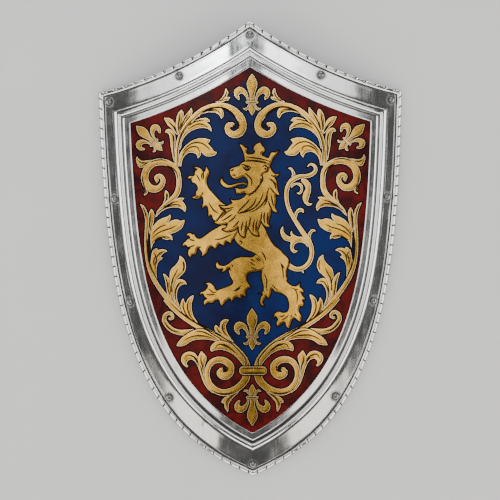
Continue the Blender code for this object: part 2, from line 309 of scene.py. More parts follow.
def offset(outline, distance):
    """The outline moved outward, or inward where distance is negative, with no loops."""
    outline = turned_left(outline)
    ahead = np.roll(outline, -1, axis=0)
    along = ahead - outline
    length = np.linalg.norm(along, axis=1)
    long = length > SHORTEST_EDGE
    outline, ahead, along = outline[long], ahead[long], along[long]
    along /= np.linalg.norm(along, axis=1)[:, None]
    out = distance * np.column_stack((along[:, 1], -along[:, 0]))
    moved = np.stack((outline + out, ahead + out), axis=1).reshape(-1, 2)
    moved = moved[away_from(moved, outline) > MOVED_ENOUGH * abs(distance)]
    if distance < 0 and len(moved):
        moved = moved[inside(moved, outline)]
    if len(moved) < 3:
        return None
    gap = np.linalg.norm(moved - np.roll(moved, 1, axis=0), axis=1)
    moved = moved[gap > MOVED_APART * abs(distance)]
    return moved if len(moved) > 2 else None


def thinned(outline):
    """The outline less the points that lie within STRAIGHT of the line between their neighbours."""
    for _ in range(2):
        before = np.roll(outline, 1, axis=0)
        along = np.roll(outline, -1, axis=0) - before
        rel = outline - before
        away = np.abs(along[:, 0] * rel[:, 1] - along[:, 1] * rel[:, 0])
        spare = away < STRAIGHT * np.linalg.norm(along, axis=1)
        spare[::2] = False
        if len(outline) - spare.sum() < 4:
            break
        outline = outline[~spare]
    return outline


def inside(points, outline):
    """Whether each point lies in a closed outline."""
    x, y = points[:, :1], points[:, 1:2]
    ax, ay = outline.T
    bx, by = np.roll(ax, -1), np.roll(ay, -1)
    side = (bx - ax) * (y - ay) - (by - ay) * (x - ax)
    up = (ay <= y) & (by > y) & (side > 0)
    down = (ay > y) & (by <= y) & (side < 0)
    return up.sum(1) != down.sum(1)


def mirrored(outlines):
    """The outlines flipped to the other side of the shield."""
    return [outline * (-1, 1) for outline in outlines]


def shadow_lines(outline, inset_by, width):
    """Engraved strokes just inside those stretches of an outline that face down and right."""
    inner = offset(outline, -inset_by)
    if inner is None or len(inner) < 8:
        return []
    along = np.roll(inner, -1, axis=0) - np.roll(inner, 1, axis=0)
    along /= np.maximum(np.linalg.norm(along, axis=1), TINY)[:, None]
    shaded = along[:, 1] + along[:, 0] > SHADOW_LEAN
    gap = np.linalg.norm(np.roll(inner, -1, axis=0) - inner, axis=1)
    bend = (along * np.roll(along, -1, axis=0)).sum(1)
    joined = shaded & np.roll(shaded, -1) & (gap < 3 * LINE_STEP) & (bend > SHADOW_BEND)
    if joined.all():
        return []
    first = int(np.nonzero(~joined)[0][0]) + 1
    strokes, run = [], []
    for number in range(first, first + len(inner)):
        number %= len(inner)
        run.append(inner[number])
        if not joined[number]:
            line = np.array(run)
            reach = np.linalg.norm(np.diff(line, axis=0), axis=1).sum()
            if len(line) > 4 and reach > SHORTEST_SHADOW:
                strokes.append(stroke(line, width))
            run = []
    return strokes


class Painting:
    """Colour areas on the panel, as outlines laid over each other."""

    def __init__(self, colours):
        self.layers = []
        self.colours = colours

    def lay(self, colour, outlines, but_not=()):
        """Adds outlines in a colour, each less the parts that the outlines of but_not cover."""
        for outline in outlines:
            if outline is not None:
                self.layers.append((colour, thinned(outline), but_not))

    def gild(self, stack, rimmed=True):
        """Gilt shapes in black outline. Each entry of the stack is a list that flows together."""
        pen = self.colours
        lit = np.array((-pen.shade_width, pen.shade_width))
        for shapes in stack:
            self.lay("ink", [offset(shape, pen.outline_width) for shape in shapes])
        for shapes in stack:
            self.lay("vein", [offset(shape, pen.vein_width / 2) for shape in shapes])
            if rimmed:
                self.lay("rim", [offset(shape, -pen.slimming) for shape in shapes])
            inner = [offset(shape, -pen.slimming - pen.rim_width * rimmed) for shape in shapes]
            inner = [shape for shape in inner if shape is not None]
            self.lay("gold", inner)
            self.lay("shade", inner, [thinned(shape) + lit for shape in inner])
            for shape in shapes:
                lines = shadow_lines(shape, pen.shade_inset, pen.vein_width)
                if rimmed:
                    lines += shadow_lines(
                        shape, SECOND_INSET * pen.shade_inset, SECOND_WIDTH * pen.vein_width)
                others = [other for other in shapes if other is not shape]
                self.engrave([line for line in lines if not any(
                    inside(line[len(line) // 4][None], other)[0] for other in others)])

    def engrave(self, strokes):
        """Cuts fine dark strokes."""
        self.lay("vein", strokes)

    def both(self, stack, strokes):
        """Gilds and engraves the left half, then the same mirrored on the right."""
        self.gild(stack)
        self.engrave(strokes)
        self.gild([mirrored(shapes) for shapes in stack])
        self.engrave(mirrored(strokes))


# The drawing sheets: left and top pixel of the photograph, and steps to a pixel
UPPER = Sheet(125, 60, 12.06)
SIDE = Sheet(125, 185, 12.06)
BOTTOM = Sheet(135, 300, 11.6)
HEAD = Sheet(195, 135, 14.933)
ARMS = Sheet(175, 160, 14.933)
LEGS = Sheet(190, 235, 13.067)
TAIL = Sheet(265, 150, 11.615)


def fleur(place, size, turn=0.0):
    """A fleur-de-lis about its band at a place: side petals, curls, tail, long petal and band."""
    art = Sheet(0, 0, 11.6)
    band_middle = np.array((1365.0, 422.0)) / art.scale
    petal = art.shape("1365,85* 1396,130 1426,192 1420,262 1396,330 1388,412 1365,420 "
                      "1342,412 1334,330 1310,262 1304,192 1334,130")
    side = art.shape("1335,412* 1322,350 1300,292 1262,256 1212,244 1168,272 1154,322 1172,368 "
                     "1216,403* 1228,372 1212,346 1238,324 1274,342 1298,376 1306,412*")
    tail = art.shape("1348,428* 1334,470 1324,506 1338,540 1365,582* 1392,540 1406,506 1396,470 1382,428*")
    curl = art.shape("1330,428* 1312,466 1288,488 1253,486* 1282,518 1318,508 1336,470 1346,434*")
    bar = art.shape("1296,406* 1434,406* 1440,422 1434,440* 1296,440* 1290,422")
    centre = to_shield([band_middle])[0]
    cosine, sine = math.cos(turn), math.sin(turn)
    spin = np.array(((cosine, sine), (-sine, cosine)))

    def placed(outline, flip=1):
        """An outline of the drawing set in its place, flipped where flip is -1."""
        return (outline - centre) * (flip, 1) * size @ spin + to_shield([place])[0]

    return [
        [placed(side)], [placed(side, -1)], [placed(curl), placed(curl, -1)],
        [placed(tail)], [placed(petal)], [placed(bar)],
    ]


def draw_fields(painting):
    """Crimson all over, and the blue field whose edge runs under the scrolls."""
    everywhere = np.array(((-0.3, -0.4), (0.3, -0.4), (0.3, 0.4), (-0.3, 0.4)))
    painting.lay("crimson", [everywhere])
    upper = UPPER.shape("1600,250* 1400,330 1240,430 1100,525 950,585 800,700 700,850 650,1000 625,1200 "
                        "645,1560 600,1630 450,1760 362,1850 320,1960 300,2300 800,2300 1600,2300*")
    side = SIDE.shape("1600,700* 300,480 262,620 258,800 290,980 350,1130 450,1280 560,1415 800,1500 "
                      "1600,1560*")
    lower = BOTTOM.shape("1400,-200* 430,-50 560,110 690,240 840,350 980,430 1110,510 1210,610 1280,710 "
                         "1310,800* 1375,810* 1400,700*")
    blue = [upper, side, lower]
    painting.lay("blue", blue + mirrored(blue))


def draw_fleurs(painting):
    """Three fleurs-de-lis down the middle, the last upside down, and one in each top corner."""
    for place, size, turn in (
        ((252.0, 102.6), 1.0, 0.0),
        ((252.1, 336.7), 1.0, 0.0),
        ((252.3, 397.4), 1.0, math.pi),
    ):
        painting.gild(fleur(place, size, turn))
    corner = fleur((154.2, 142.9), 0.87, math.radians(46.5))
    painting.gild(corner)
    painting.gild([mirrored(shapes) for shapes in corner])


def draw_upper_scroll(painting):
    """From the side up to the inner volute, with its leaves, and the outer volute."""
    leaves = [
        "1080,515* 1130,490 1175,450 1200,400 1212,340* 1238,370 1245,410 1228,450 1270,450* 1252,485 "
        "1210,500 1150,520",
        "870,712* 900,655 960,612 1040,582 1110,562 1165,592 1190,640 1186,690 1160,717* 1138,672 1090,642 "
        "1020,636 955,650 905,680",
        "640,1100* 668,1000 700,900 745,830 800,765 860,728 930,704 995,706 1033,745* 985,757* 1020,785 "
        "1045,830 1043,872* 1005,838 935,824 855,838 790,868 730,920 695,980 670,1080",
        "655,1150* 690,1085 740,1028 800,982 870,952 950,945 1037,967* 1003,1012* 1045,1058 1080,1105 "
        "1113,1113* 1090,1148 1035,1166 975,1160 930,1125 918,1105* 915,1150 880,1195* 868,1150 830,1125 "
        "780,1122 730,1150 695,1205 680,1290* 655,1280*",
        "640,915* 600,880 560,828 518,792 490,745 467,698* 530,700 580,728 612,790 630,850",
        "645,915* 622,850 613,780 622,700 645,640 685,597* 708,645 703,705 688,765 672,830",
        "650,930* 668,830 690,745 712,690 760,632 806,573* 814,625 800,680 762,735 722,790 690,850",
        "483,880* 492,848 525,832 565,845 600,890 612,960 606,1050 604,1150 612,1235* 590,1225 575,1160 "
        "558,1080 548,1000 538,930 520,888",
        "150,1153* 166,1190 200,1213 260,1212 330,1200* 300,1235 250,1272 200,1300 160,1288 150,1262* "
        "135,1225 133,1185",
        "212,1500* 226,1560 236,1605 215,1642* 258,1625 280,1590 268,1540 240,1500",
        "487,1565* 478,1620 478,1680 440,1760* 500,1712 527,1672 533,1635 520,1592",
        "362,1909* 380,1850 430,1790 480,1755 540,1715 600,1682 660,1662 722,1665* 690,1699* 725,1742 "
        "740,1787 725,1839* 690,1802 640,1782 570,1782 500,1797 440,1832 395,1880",
    ]
    stem = UPPER.ribbon("628,1290,52 624,1180,50 634,1060,50 660,950,54 708,850,60 775,755,64 "
                        "855,668,62 950,600,60 1050,562,60 1150,552,66 1240,572,76 1325,625,86 "
                        "1392,700,94 1418,790,98 1392,872,96 1315,905,84 1250,870,74 1238,810,66 "
                        "1275,775,58 1308,795,48")
    volute = UPPER.ribbon("362,1857,0 430,1792,30 490,1737,44 560,1682,56 615,1627,66 645,1560,66 "
                          "652,1450,62 634,1350,62 582,1282,66 510,1243,74 430,1230,82 345,1247,86 "
                          "277,1300,88 240,1390,90 250,1480,92 310,1546,90 385,1556,80 440,1515,68 "
                          "460,1450,60 430,1403,58 388,1410,56 374,1445,50 400,1465,40")
    veins = UPPER.lines(
        "1120,505 1170,480 1205,440 1222,400 / 900,675 960,630 1040,606 1110,612 1150,655 / 1365,740 "
        "1375,800 1350,840 1300,850 1265,830 / 760,800 830,755 900,735 960,728 / 760,840 830,795 "
        "900,775 960,790 1000,815 / 690,1120 760,1040 840,1000 930,1010 990,1050 1030,1090 / 690,1160 "
        "740,1090 810,1050 880,1060 900,1110 / 520,740 570,790 605,840 630,890 / 660,650 655,720 "
        "645,790 650,860 / 770,640 730,700 695,770 670,840 660,900 / 545,870 580,920 592,1000 588,1100 "
        "596,1180 / 640,1240 636,1120 650,1010 680,900 740,800 820,710 / 930,635 1010,598 1100,580 "
        "1190,582 1270,622 1335,690 / 640,1440 622,1360 575,1305 510,1275 / 212,1400 218,1480 250,1550 "
        "/ 170,1220 200,1240 260,1240 / 225,1530 245,1580 240,1610 / 300,1235 370,1212 450,1205 "
        "520,1225 / 500,1600 505,1650 490,1700 / 420,1830 490,1765 570,1725 650,1700 / 450,1800 "
        "540,1755 630,1745 690,1770", LEAF_LINE)
    painting.both(UPPER.stack(leaves) + [[stem, volute]], veins)


def draw_side_leaves(painting):
    """The long stem down the side with its acanthus leaves."""
    leaves = [
        "318,280* 295,325 285,385 278,450 282,520 296,602* 318,560 340,480 356,400 350,330",
        "305,640* 312,570 345,490 398,430 455,398 515,378 548,352* 556,388 543,420 512,465* 560,430 "
        "620,415 675,430 722,418* 714,465 690,515 640,556 585,580 545,590* 572,625 577,674* 550,655 "
        "505,662 430,642 385,664 348,700 325,760 318,830*",
        "315,870* 328,805 358,770 392,758* 395,785* 440,772 490,780 519,804* 478,815 448,840 430,862* "
        "462,882* 432,905 402,935 386,985 380,1045 390,1125 420,1205 470,1300* 400,1210 340,1090 305,980",
        "750,1200* 730,1160 690,1137 645,1135 605,1180 585,1260 590,1360 620,1450 680,1550* 660,1460 "
        "632,1380 628,1320 640,1260 665,1220 705,1198",
        "655,845* 705,882 732,940 736,1000 715,1055 670,1100 630,1140 600,1230 585,1330 590,1420* 560,1330 "
        "548,1230 540,1140 540,1060 562,1010 605,970 640,925 655,885",
        "455,1063* 490,1078 520,1110 545,1140 560,1200 570,1300 600,1400 650,1500* 590,1480 540,1400 "
        "512,1320 498,1240 485,1160 470,1110",
    ]
    leaf_low = BOTTOM.shape("684,-61* 644,-43 610,-7 590,37 572,8 562,-28* 538,13 527,70 545,140 590,205 "
                            "650,262 760,320* 722,250 680,185 660,110 660,30 678,-20")
    stem = SIDE.ribbon("172,222,0 215,262,36 248,330,46 266,420,50 262,520,44 256,620,44 256,720,46 "
                       "262,820,48 275,920,50 300,1020,52 340,1120,54 400,1220,56 480,1330,60 570,1440,62 "
                       "660,1540,64")
    long_stem = BOTTOM.ribbon("350,-10,54 420,70,56 500,145,58 590,215,60 680,275,60 770,325,62 870,378,64 "
                              "980,432,66 1080,495,72 1170,572,80 1240,655,88 1285,740,92 1300,830,92")
    curl = BOTTOM.ribbon("900,420,70 780,388,80 680,372,74 590,376,68 510,374,64 430,345,62 370,290,60 "
                         "338,230,54 352,175,48 398,150,44 437,182,40 425,222,36 392,212,30")
    veins = SIDE.lines(
        "215,270 245,340 258,420 / 315,330 305,400 298,470 305,540 / 330,600 380,540 440,500 500,480 / "
        "330,640 400,580 480,545 560,520 630,485 / 350,680 420,640 500,625 545,640 / "
        "345,820 370,850 350,910 350,980 / 480,800 430,815 390,860 375,930 370,1000 / "
        "640,1010 610,1070 580,1130 565,1200 560,1290 / 700,920 715,980 700,1040 / "
        "485,1110 510,1180 520,1260 545,1330 / 710,1170 660,1180 625,1230 605,1300 610,1380 / "
        "275,640 272,760 285,880 320,1000 370,1110 440,1220", LEAF_LINE)
    low_veins = BOTTOM.lines(
        "640,-20 615,30 610,100 640,180 700,250 / 565,20 560,80 590,160 650,230 / "
        "400,20 470,90 550,160 640,225 740,285 850,345 960,400 1060,460 / "
        "1090,530 1170,610 1230,690 1255,760", LEAF_LINE)
    painting.both(
        SIDE.stack(leaves) + [[leaf_low], [stem, long_stem, curl]],
        veins + low_veins)


def draw_lower_scroll(painting):
    """The lower volutes with their leaves, and the clasp that holds the stems."""
    leaves = [
        "990,490* 930,475 860,460 780,455 700,462 640,485 590,520 530,537 478,535* 500,490 540,440 "
        "575,415* 640,370 720,340 800,340 900,400 1000,470",
        "990,465* 930,485 890,520 873,560 884,601* 930,583 990,575 1060,590 1130,625 1190,680 1240,740 "
        "1270,790* 1280,700 1200,590 1100,500",
        "905,1085* 850,1040 800,970 770,890 740,800 700,720 655,690 618,702 602,738 622,772* 605,782 "
        "565,755 535,708 540,655 575,615 630,597 690,612 730,660 775,760 800,880 840,980 950,1090*",
        "770,585* 740,640 730,690 748,740 775,790 790,860 830,960 900,1050* 850,960 815,880 806,800 "
        "812,750 828,700 826,650 795,612",
        "1250,1020* 1180,1095 1125,1150 1092,1200 1086,1260 1080,1310* 1040,1250 1030,1200 1000,1195* "
        "1005,1168 1040,1130 1090,1105 1170,1060",
    ]
    volute = BOTTOM.ribbon("1300,850,92 1275,930,88 1200,1010,84 1110,1060,84 1010,1072,80 920,1035,76 "
                           "860,960,66 838,870,56 850,780,62 900,715,70 970,692,76 1050,708,80 1105,765,84 "
                           "1100,840,88 1050,882,86 992,865,76 985,822,64 1020,805,50")
    veins = BOTTOM.lines(
        "560,480 620,440 700,415 800,415 900,440 / 700,360 790,370 880,410 950,450 / "
        "930,560 960,520 1030,515 1110,560 1180,630 / 1000,520 1080,545 1150,600 / "
        "570,690 610,640 670,650 710,700 740,770 / 640,640 700,670 730,720 / "
        "770,640 765,700 785,770 800,850 / 1072,770 1078,805 1050,830 1015,822 / "
        "880,1040 960,1080 1060,1090 1150,1060 / 1060,1230 1065,1180 1100,1130 1160,1090 / "
        "340,250 380,310 440,355 520,370", LEAF_LINE)
    left_leaf = BOTTOM.shape("1095,227* 1040,220 1000,245 985,290 980,330* 955,295 935,285* 920,325 "
                             "940,368 990,400 1060,450 1160,500* 1095,415 1065,360 1055,300 1072,258")
    painting.gild([[left_leaf]])
    left_lines = BOTTOM.lines("1040,250 1015,310 1030,370 1080,420 / 950,320 970,360 1010,390", LEAF_LINE)
    painting.engrave(left_lines)
    painting.both(BOTTOM.stack(leaves) + [[volute]], veins)
    clasp = BOTTOM.shape("1240,768* 1500,768* 1525,790 1525,845 1500,867* 1240,867* 1213,845 1213,790")
    painting.gild([[clasp]])
    painting.engrave(BOTTOM.lines("1232,792 1365,788 1505,792 / 1232,843 1365,848 1505,843", FINE_LINE))


def draw_lion_tail(painting):
    """The lion's tail in an S with its tufts."""
    tail = TAIL.ribbon("200,1270,80 280,1345,62 360,1383,54 440,1370,54 508,1310,54 541,1220,52 "
                       "535,1130,54 500,1040,56 440,960,54 380,870,50 320,770,48 275,680,48 250,580,48 "
                       "250,480,50 275,400,54 325,345,58 400,312,54 480,305,48 550,280,48 588,228,44 "
                       "565,180,36 525,168,28 488,200,8")
    tufts = [
        "255,212* 300,205 338,245 350,300 310,360 280,400* 300,330 312,280 300,240 275,222",
        "352,490* 380,497 410,465 402,425 360,408 300,450* 310,400 370,380 425,395 440,440 432,490 395,522",
        "420,330* 480,345 528,400 532,470 512,550 500,608 555,625* 510,652 460,622 435,560 446,500 "
        "470,450 450,400 420,370",
        "335,830* 342,740 370,690 410,673 450,697 447,737* 412,717 380,742 368,800 390,885*",
        "485,1070* 440,1010 380,1005 325,975 305,930* 293,970 300,1005 250,990 215,940 210,875* 178,930 "
        "190,1000 230,1050 295,1072 288,1130 308,1180 350,1197 385,1163* 350,1165 332,1130 350,1092 "
        "400,1072 450,1085 505,1140*",
        "500,1080* 492,1010 510,950 545,918 582,928 590,946* 560,950 538,975 532,1030 545,1110*",
        "400,1390* 455,1442* 440,1378*",
    ]
    painting.gild(TAIL.stack(tufts) + [[tail]])


def draw_lion_limbs(painting):
    """The lion's legs, flank, body and arms. The lion is rampant and faces left."""
    far_leg = LEGS.shape("870,240* 820,285 740,290 660,288 580,318 520,362 470,396 415,402 372,382 "
                         "375,340* 345,370 343,410 375,445 440,440 400,487* 460,470 510,425 508,480 "
                         "528,540 560,600 555,640 490,675 420,700 345,722 320,680 290,640* 270,630 "
                         "240,622 188,636* 235,655 220,700 175,740 150,740 121,785* 178,768 190,800 "
                         "225,835 200,845 180,880 190,920* 235,880 290,885 335,852 378,845 390,880 "
                         "400,900 411,935* 458,880 480,850 530,830 540,880* 580,822 622,808 664,836* "
                         "680,790 735,805* 722,742 752,702 795,680* 768,640 742,590 742,530 790,490 "
                         "860,475 935,465* 1010,380 970,290")
    near_leg = LEGS.shape("1250,400* 1258,470 1248,530 1275,575* 1262,600 1300,645 1360,670 1410,655 "
                          "1440,610* 1435,680 1470,710 1490,750* 1450,745 1475,800 1510,840* 1468,850 "
                          "1485,900 1468,935* 1440,925 1425,1000 1455,1060 1450,1110 1437,1136* "
                          "1400,1105 1370,1080 1330,1110 1312,1160 1288,1226* 1255,1180 1238,1135 "
                          "1190,1160 1142,1195* 1128,1140 1150,1105 1120,1060 1090,1095* 1105,1030 "
                          "1160,1000 1220,1015 1272,1000 1292,950 1290,880 1262,805 1200,762 1120,740 "
                          "1070,695 1052,780 1015,835* 1000,790 962,850 950,880 980,935* 925,905 "
                          "915,860 932,805 955,770 880,762* 930,762 960,720 960,660 945,600 935,530 "
                          "942,470 970,400* 940,200 1100,150")
    body = ARMS.shape("880,1100* 890,1162* 905,1205 945,1255 1005,1305 1085,1350 1180,1388 1240,1430* "
                      "1400,1560 1600,1600 1700,1500 1530,1330 1440,1230 1395,1150 1360,1060 1310,970 "
                      "1250,850 1100,800 950,900")
    flank = LEGS.shape("830,200* 925,225 965,270 985,330 970,400 945,470 1000,560* 1150,600 1262,600* "
                       "1258,470 1290,370 1250,300 1185,205 1100,140 1045,60 1000,-20 850,0")
    arm_low = ARMS.shape("700,975* 600,1030 520,1080 440,1140 380,1175 330,1170 300,1130 278,1100* "
                         "262,1118 250,1098 210,1092 160,1126* 215,1135 225,1170 185,1180 165,1215 "
                         "135,1235 104,1292* 165,1270 195,1305 235,1310 205,1350 198,1400 235,1466* "
                         "250,1415 290,1410 318,1390 325,1340 350,1300 380,1345 410,1395 388,1450* "
                         "460,1400 490,1350 505,1310 545,1288 580,1300 598,1336* 632,1280 655,1250 "
                         "690,1260 735,1282* 745,1240 775,1215 837,1250* 850,1200 890,1160* 960,1000")
    arm_high = ARMS.shape("790,690* 700,640 625,562 560,490 510,432 482,370 475,300 492,245 515,190 "
                          "500,150 465,95* 455,160 425,185 405,150 370,122 320,108 272,110* 330,142 "
                          "295,180 300,225 265,245 225,240 180,276* 245,290 262,345 305,352 335,395 "
                          "340,445 308,490 320,530 290,550 243,545* 290,578 350,577 405,545 425,600 "
                          "405,725* 450,690 480,690 500,760 500,851* 545,820 570,880 600,915 640,900 "
                          "720,800")
    painting.gild([[far_leg], [near_leg, flank, body], [arm_high], [arm_low]], rimmed=False)


def draw_lion_head(painting):
    """The lion's tongue, mane, head and crown, and the lines engraved in them."""
    mane = HEAD.shape("1110,430* 1122,480 1150,540 1200,588 1265,570* 1240,610 1190,638 1222,700 1230,810 "
                      "1265,905* 1205,895 1210,980 1195,1080 1238,1160* 1180,1150 1135,1120 1128,1200 "
                      "1105,1280 1100,1345 1138,1370* 1065,1372 1010,1320 990,1290 960,1360 935,1430 "
                      "955,1512* 880,1490 830,1440 795,1380 760,1440 745,1532* 690,1505 655,1440 "
                      "650,1370 600,1415 530,1440 470,1440 400,1408* 450,1400 482,1360 490,1312* "
                      "430,1335 350,1335 272,1298* 330,1290 370,1240 420,1180 465,1135 405,1110 360,1050* "
                      "420,1062 480,1060 560,1010 548,992 518,955* 565,975 640,972 700,950 750,910 "
                      "790,860 900,700 950,500")
    head = HEAD.shape("745,395* 690,428 662,462 600,482 548,500 520,520* 522,560 535,605 562,640 605,658 "
                      "650,655 700,632 740,628 775,652 792,695 792,745 772,782 735,802 690,808 640,800 "
                      "600,790* 612,830 616,890* 650,872 672,885 710,872 750,868 780,890 830,890 "
                      "880,870 930,820 970,760 1000,700 1015,650 1000,605 1040,570 1090,550 1110,500 "
                      "1115,440 1000,400 870,380")
    tongue = HEAD.ribbon("785,750,10 740,728,22 680,728,24 620,742,28 560,765,36 490,772,46 430,738,52 "
                         "398,690,40 410,645,6")
    crown = HEAD.shape("745,400* 738,330 725,270 700,210 655,135* 722,165 748,192 788,200 768,245 778,290 "
                       "830,292 872,285 895,250 872,205 905,150 978,112* 1000,160 1045,222 1035,262 "
                       "1000,270 1002,310 1040,330 1090,350 1112,325 1120,290 1150,260 1192,266 1257,225* "
                       "1212,290 1170,340 1142,400 1118,455* 1000,420 870,398")
    painting.gild([[tongue], [mane], [head], [crown]], rimmed=False)
    head_lines = HEAD.lines(
        "755,335 870,345 1000,365 1130,400 / 750,375 870,385 1000,400 1115,430 / "
        "690,440 730,450 790,470 840,490 / 715,470 740,510 780,535 820,510 835,490 / "
        "735,490 770,480 800,500 / 745,500 775,515 805,505 / 525,540 560,530 580,510 / "
        "560,610 590,600 600,620 / 740,570 780,600 830,650 850,700 840,760 / "
        "1000,480 1050,460 1085,500 1070,550 1030,570 / 1030,520 1050,500 1065,530 / "
        "985,600 1010,640 1005,690 985,720 / 970,650 985,690 960,740 / "
        "900,820 940,780 960,740 / 850,860 890,840 920,800 / 800,920 840,880 870,870", LION_LINE)
    mane_lines = HEAD.lines(
        "630,1165 700,1090 770,1020 820,960 / 630,1170 740,1140 830,1080 890,1010 920,930 / "
        "640,1175 760,1150 870,1100 950,1020 1000,930 1020,850 / 820,1160 920,1110 1000,1040 1060,950 "
        "1080,860 1110,780 / 370,1060 420,1100 500,1100 580,1080 / 380,1250 470,1160 560,1110 / "
        "400,1290 480,1240 560,1180 / 490,1310 560,1260 620,1190 / 560,1390 620,1330 660,1280 / "
        "690,1440 700,1360 720,1290 / 740,1440 760,1360 770,1280 / 800,1380 820,1300 830,1230 / "
        "870,1440 870,1350 890,1260 / 910,1460 910,1370 930,1270 / 980,1300 990,1220 1000,1150 / "
        "1040,1320 1030,1230 1040,1150 / 1080,1330 1080,1240 1090,1150 / 1160,1130 1120,1060 1090,990 / "
        "1170,1060 1150,980 1140,900 / 1220,890 1170,850 1120,790 / 1200,800 1190,740 1150,680 / "
        "1130,600 1170,620 1210,600 / 1210,740 1160,690 1110,650 / 1080,900 1070,980 1030,1060", LION_LINE)
    painting.engrave(head_lines + mane_lines)


def engrave_lion_limbs(painting):
    """The lines in the lion's arms, body and legs, which run over its mane's edge."""
    arm_lines = ARMS.lines(
        "410,300 400,240 410,190 / 380,320 345,260 320,220 / 430,290 425,220 430,180 / "
        "505,635 540,700 590,760 650,800 / 580,760 560,730 / 590,1190 680,1180 760,1150 850,1110 / "
        "215,1180 260,1200 300,1200 / 200,1300 250,1290 300,1270 / 340,1330 370,1300 400,1300 / "
        "960,1200 1000,1230 980,1260 / 270,150 320,150 340,130 / 235,290 250,270 265,265 / "
        "300,570 330,550 350,530 / 400,530 410,500 405,480", LEAF_LINE)
    leg_lines = LEGS.lines(
        "940,220 975,280 990,340 / 1180,360 1205,430 1215,500 1220,570 / 1200,380 1230,440 / 530,400 "
        "520,440 540,470 / 545,380 560,420 / 230,700 270,720 300,750 350,740 / 210,775 260,780 330,775 "
        "/ 560,740 620,700 680,650 / 600,730 660,690 / 970,500 1000,580 1000,680 1010,740 / 1070,650 "
        "1110,690 1150,720 / 1310,685 1370,710 1400,780 1395,900 / 1380,700 1410,720 / 1160,1060 "
        "1200,1060 1240,1045 / 1200,1110 1250,1080 1290,1040 / 1310,1080 1330,1040 / 1390,1060 "
        "1370,1020 / 790,310 850,350 / 780,350 850,400 / 800,420 870,450 / 850,290 910,350 / 880,290 "
        "930,340", FINE_LINE)
    painting.engrave(arm_lines + leg_lines)


def rise(value, start, end):
    """0 before the start, 1 past the end and a smooth step between them, either way round."""
    share = np.clip((value - start) / (end - start), 0.0, 1.0)
    return share**2 * (3 - 2 * share)


def top_curve(sizes, share):
    """Right half of the top: a hollow arc from the peak down to the corner."""
    peak = np.array((0.0, sizes.height / 2))
    corner = np.array((sizes.width / 2, sizes.height / 2 - sizes.corner_drop))
    chord = corner - peak
    half = np.linalg.norm(chord) / 2
    along = chord / (2 * half)
    outward = np.array((-along[1], along[0]))
    radius = sizes.top_arc_radius
    centre = (peak + corner) / 2 + outward * math.sqrt(radius**2 - half**2)
    angle = math.asin(half / radius) * (2 * share - 1)
    return centre + radius * (np.outer(np.sin(angle), along) - np.outer(np.cos(angle), outward))


def side_curve(sizes, share):
    """Right side: one swelling curve from the corner to the tip."""
    corner = np.array((sizes.width / 2, sizes.height / 2 - sizes.corner_drop))
    tip = np.array((0.0, -sizes.height / 2))
    lean, opening = sizes.side_lean, sizes.tip_half_angle
    below = corner - sizes.side_handle * np.array((math.sin(lean), math.cos(lean)))
    above = tip + sizes.tip_handle * np.array((math.sin(opening), math.cos(opening)))
    rest = 1 - share
    return (
        np.outer(rest**3, corner) + np.outer(3 * rest**2 * share, below)
        + np.outer(3 * rest * share**2, above) + np.outer(share**3, tip)
    )


def border_width(sizes, edge, share):
    """Border width at shares of one edge: edge 0 is the top and 1 the side."""
    if edge == 0:
        return np.full_like(share, sizes.border_top)
    swell = rise(share, sizes.swell_start, sizes.swell_end)
    return sizes.border_side + (sizes.border_tip - sizes.border_side) * swell


def inset(curve, distance):
    """A curve's points moved inward by distances."""
    along = np.gradient(curve, axis=0)
    along /= np.linalg.norm(along, axis=1)[:, None]
    return curve + np.column_stack((along[:, 1], -along[:, 0])) * distance[:, None]


def first_crossing(top, side):
    """Cuts the top line and the side line where they meet, at the mitre."""
    corner = top[-1]
    if np.allclose(corner, side[0], atol=TINY):
        return top, side
    for first in range(len(top) - 1, 0, -1):
        a, d = top[first - 1], top[first] - top[first - 1]
        p, e = side[:-1], side[1:] - side[:-1]
        cross = d[0] * e[:, 1] - d[1] * e[:, 0]
        rel = p - a
        t = (rel[:, 0] * e[:, 1] - rel[:, 1] * e[:, 0]) / cross
        u = (rel[:, 0] * d[1] - rel[:, 1] * d[0]) / cross
        hit = np.nonzero((t >= 0) & (t <= 1) & (u >= 0) & (u <= 1))[0]
        if len(hit):
            point = a + t[hit[0]] * d
            return np.vstack((top[:first], point)), np.vstack((point, side[hit[0] + 1:]))
    return top, np.vstack((corner, side))


def to_axis(line):
    """Drops the end of a line that has crossed to the shield's left half."""
    over = np.nonzero(line[1:, 0] <= 0)[0]
    if not len(over):
        return line
    before, after = line[over[0]], line[over[0] + 1]
    share = before[0] / (before[0] - after[0])
    return np.vstack((line[:over[0] + 1], before + (after - before) * share))


class Ring:
    """A closed line round the shield, at a distance inside its outer edge.

    A place on it is a number: 0 is the peak, 1 the right corner, 2 the tip, 3 the left
    corner and 4 the peak again.
    """

    def __init__(self, sizes, distance):
        share = np.linspace(0, 1, CURVE_STEPS + 1)
        top = inset(top_curve(sizes, share), distance(0, share))
        side = inset(side_curve(sizes, share), distance(1, share))
        top = to_axis(top[::-1])[::-1]
        top, side = first_crossing(top, side)
        side = to_axis(side)
        places, self.lengths = [], []
        for edge, line in enumerate((top, side)):
            run = np.concatenate(((0.0,), np.cumsum(np.linalg.norm(np.diff(line, axis=0), axis=1))))
            places.append(edge + run / run[-1])
            self.lengths.append(run[-1])
        half, at = np.vstack((top, side[1:])), np.concatenate((places[0], places[1][1:]))
        half[0, 0] = half[-1, 0] = 0.0
        self.points = np.vstack((half, half[-2::-1] * (-1, 1)))
        self.places = np.concatenate((at, 4 - at[-2::-1]))

    def at(self, places):
        """The points at places on the ring."""
        return np.column_stack([np.interp(places, self.places, self.points[:, axis]) for axis in (0, 1)])


def from_edge(sizes, distance):
    """The ring at one distance inside the outer edge."""
    return Ring(sizes, lambda edge, share: np.full_like(share, distance))


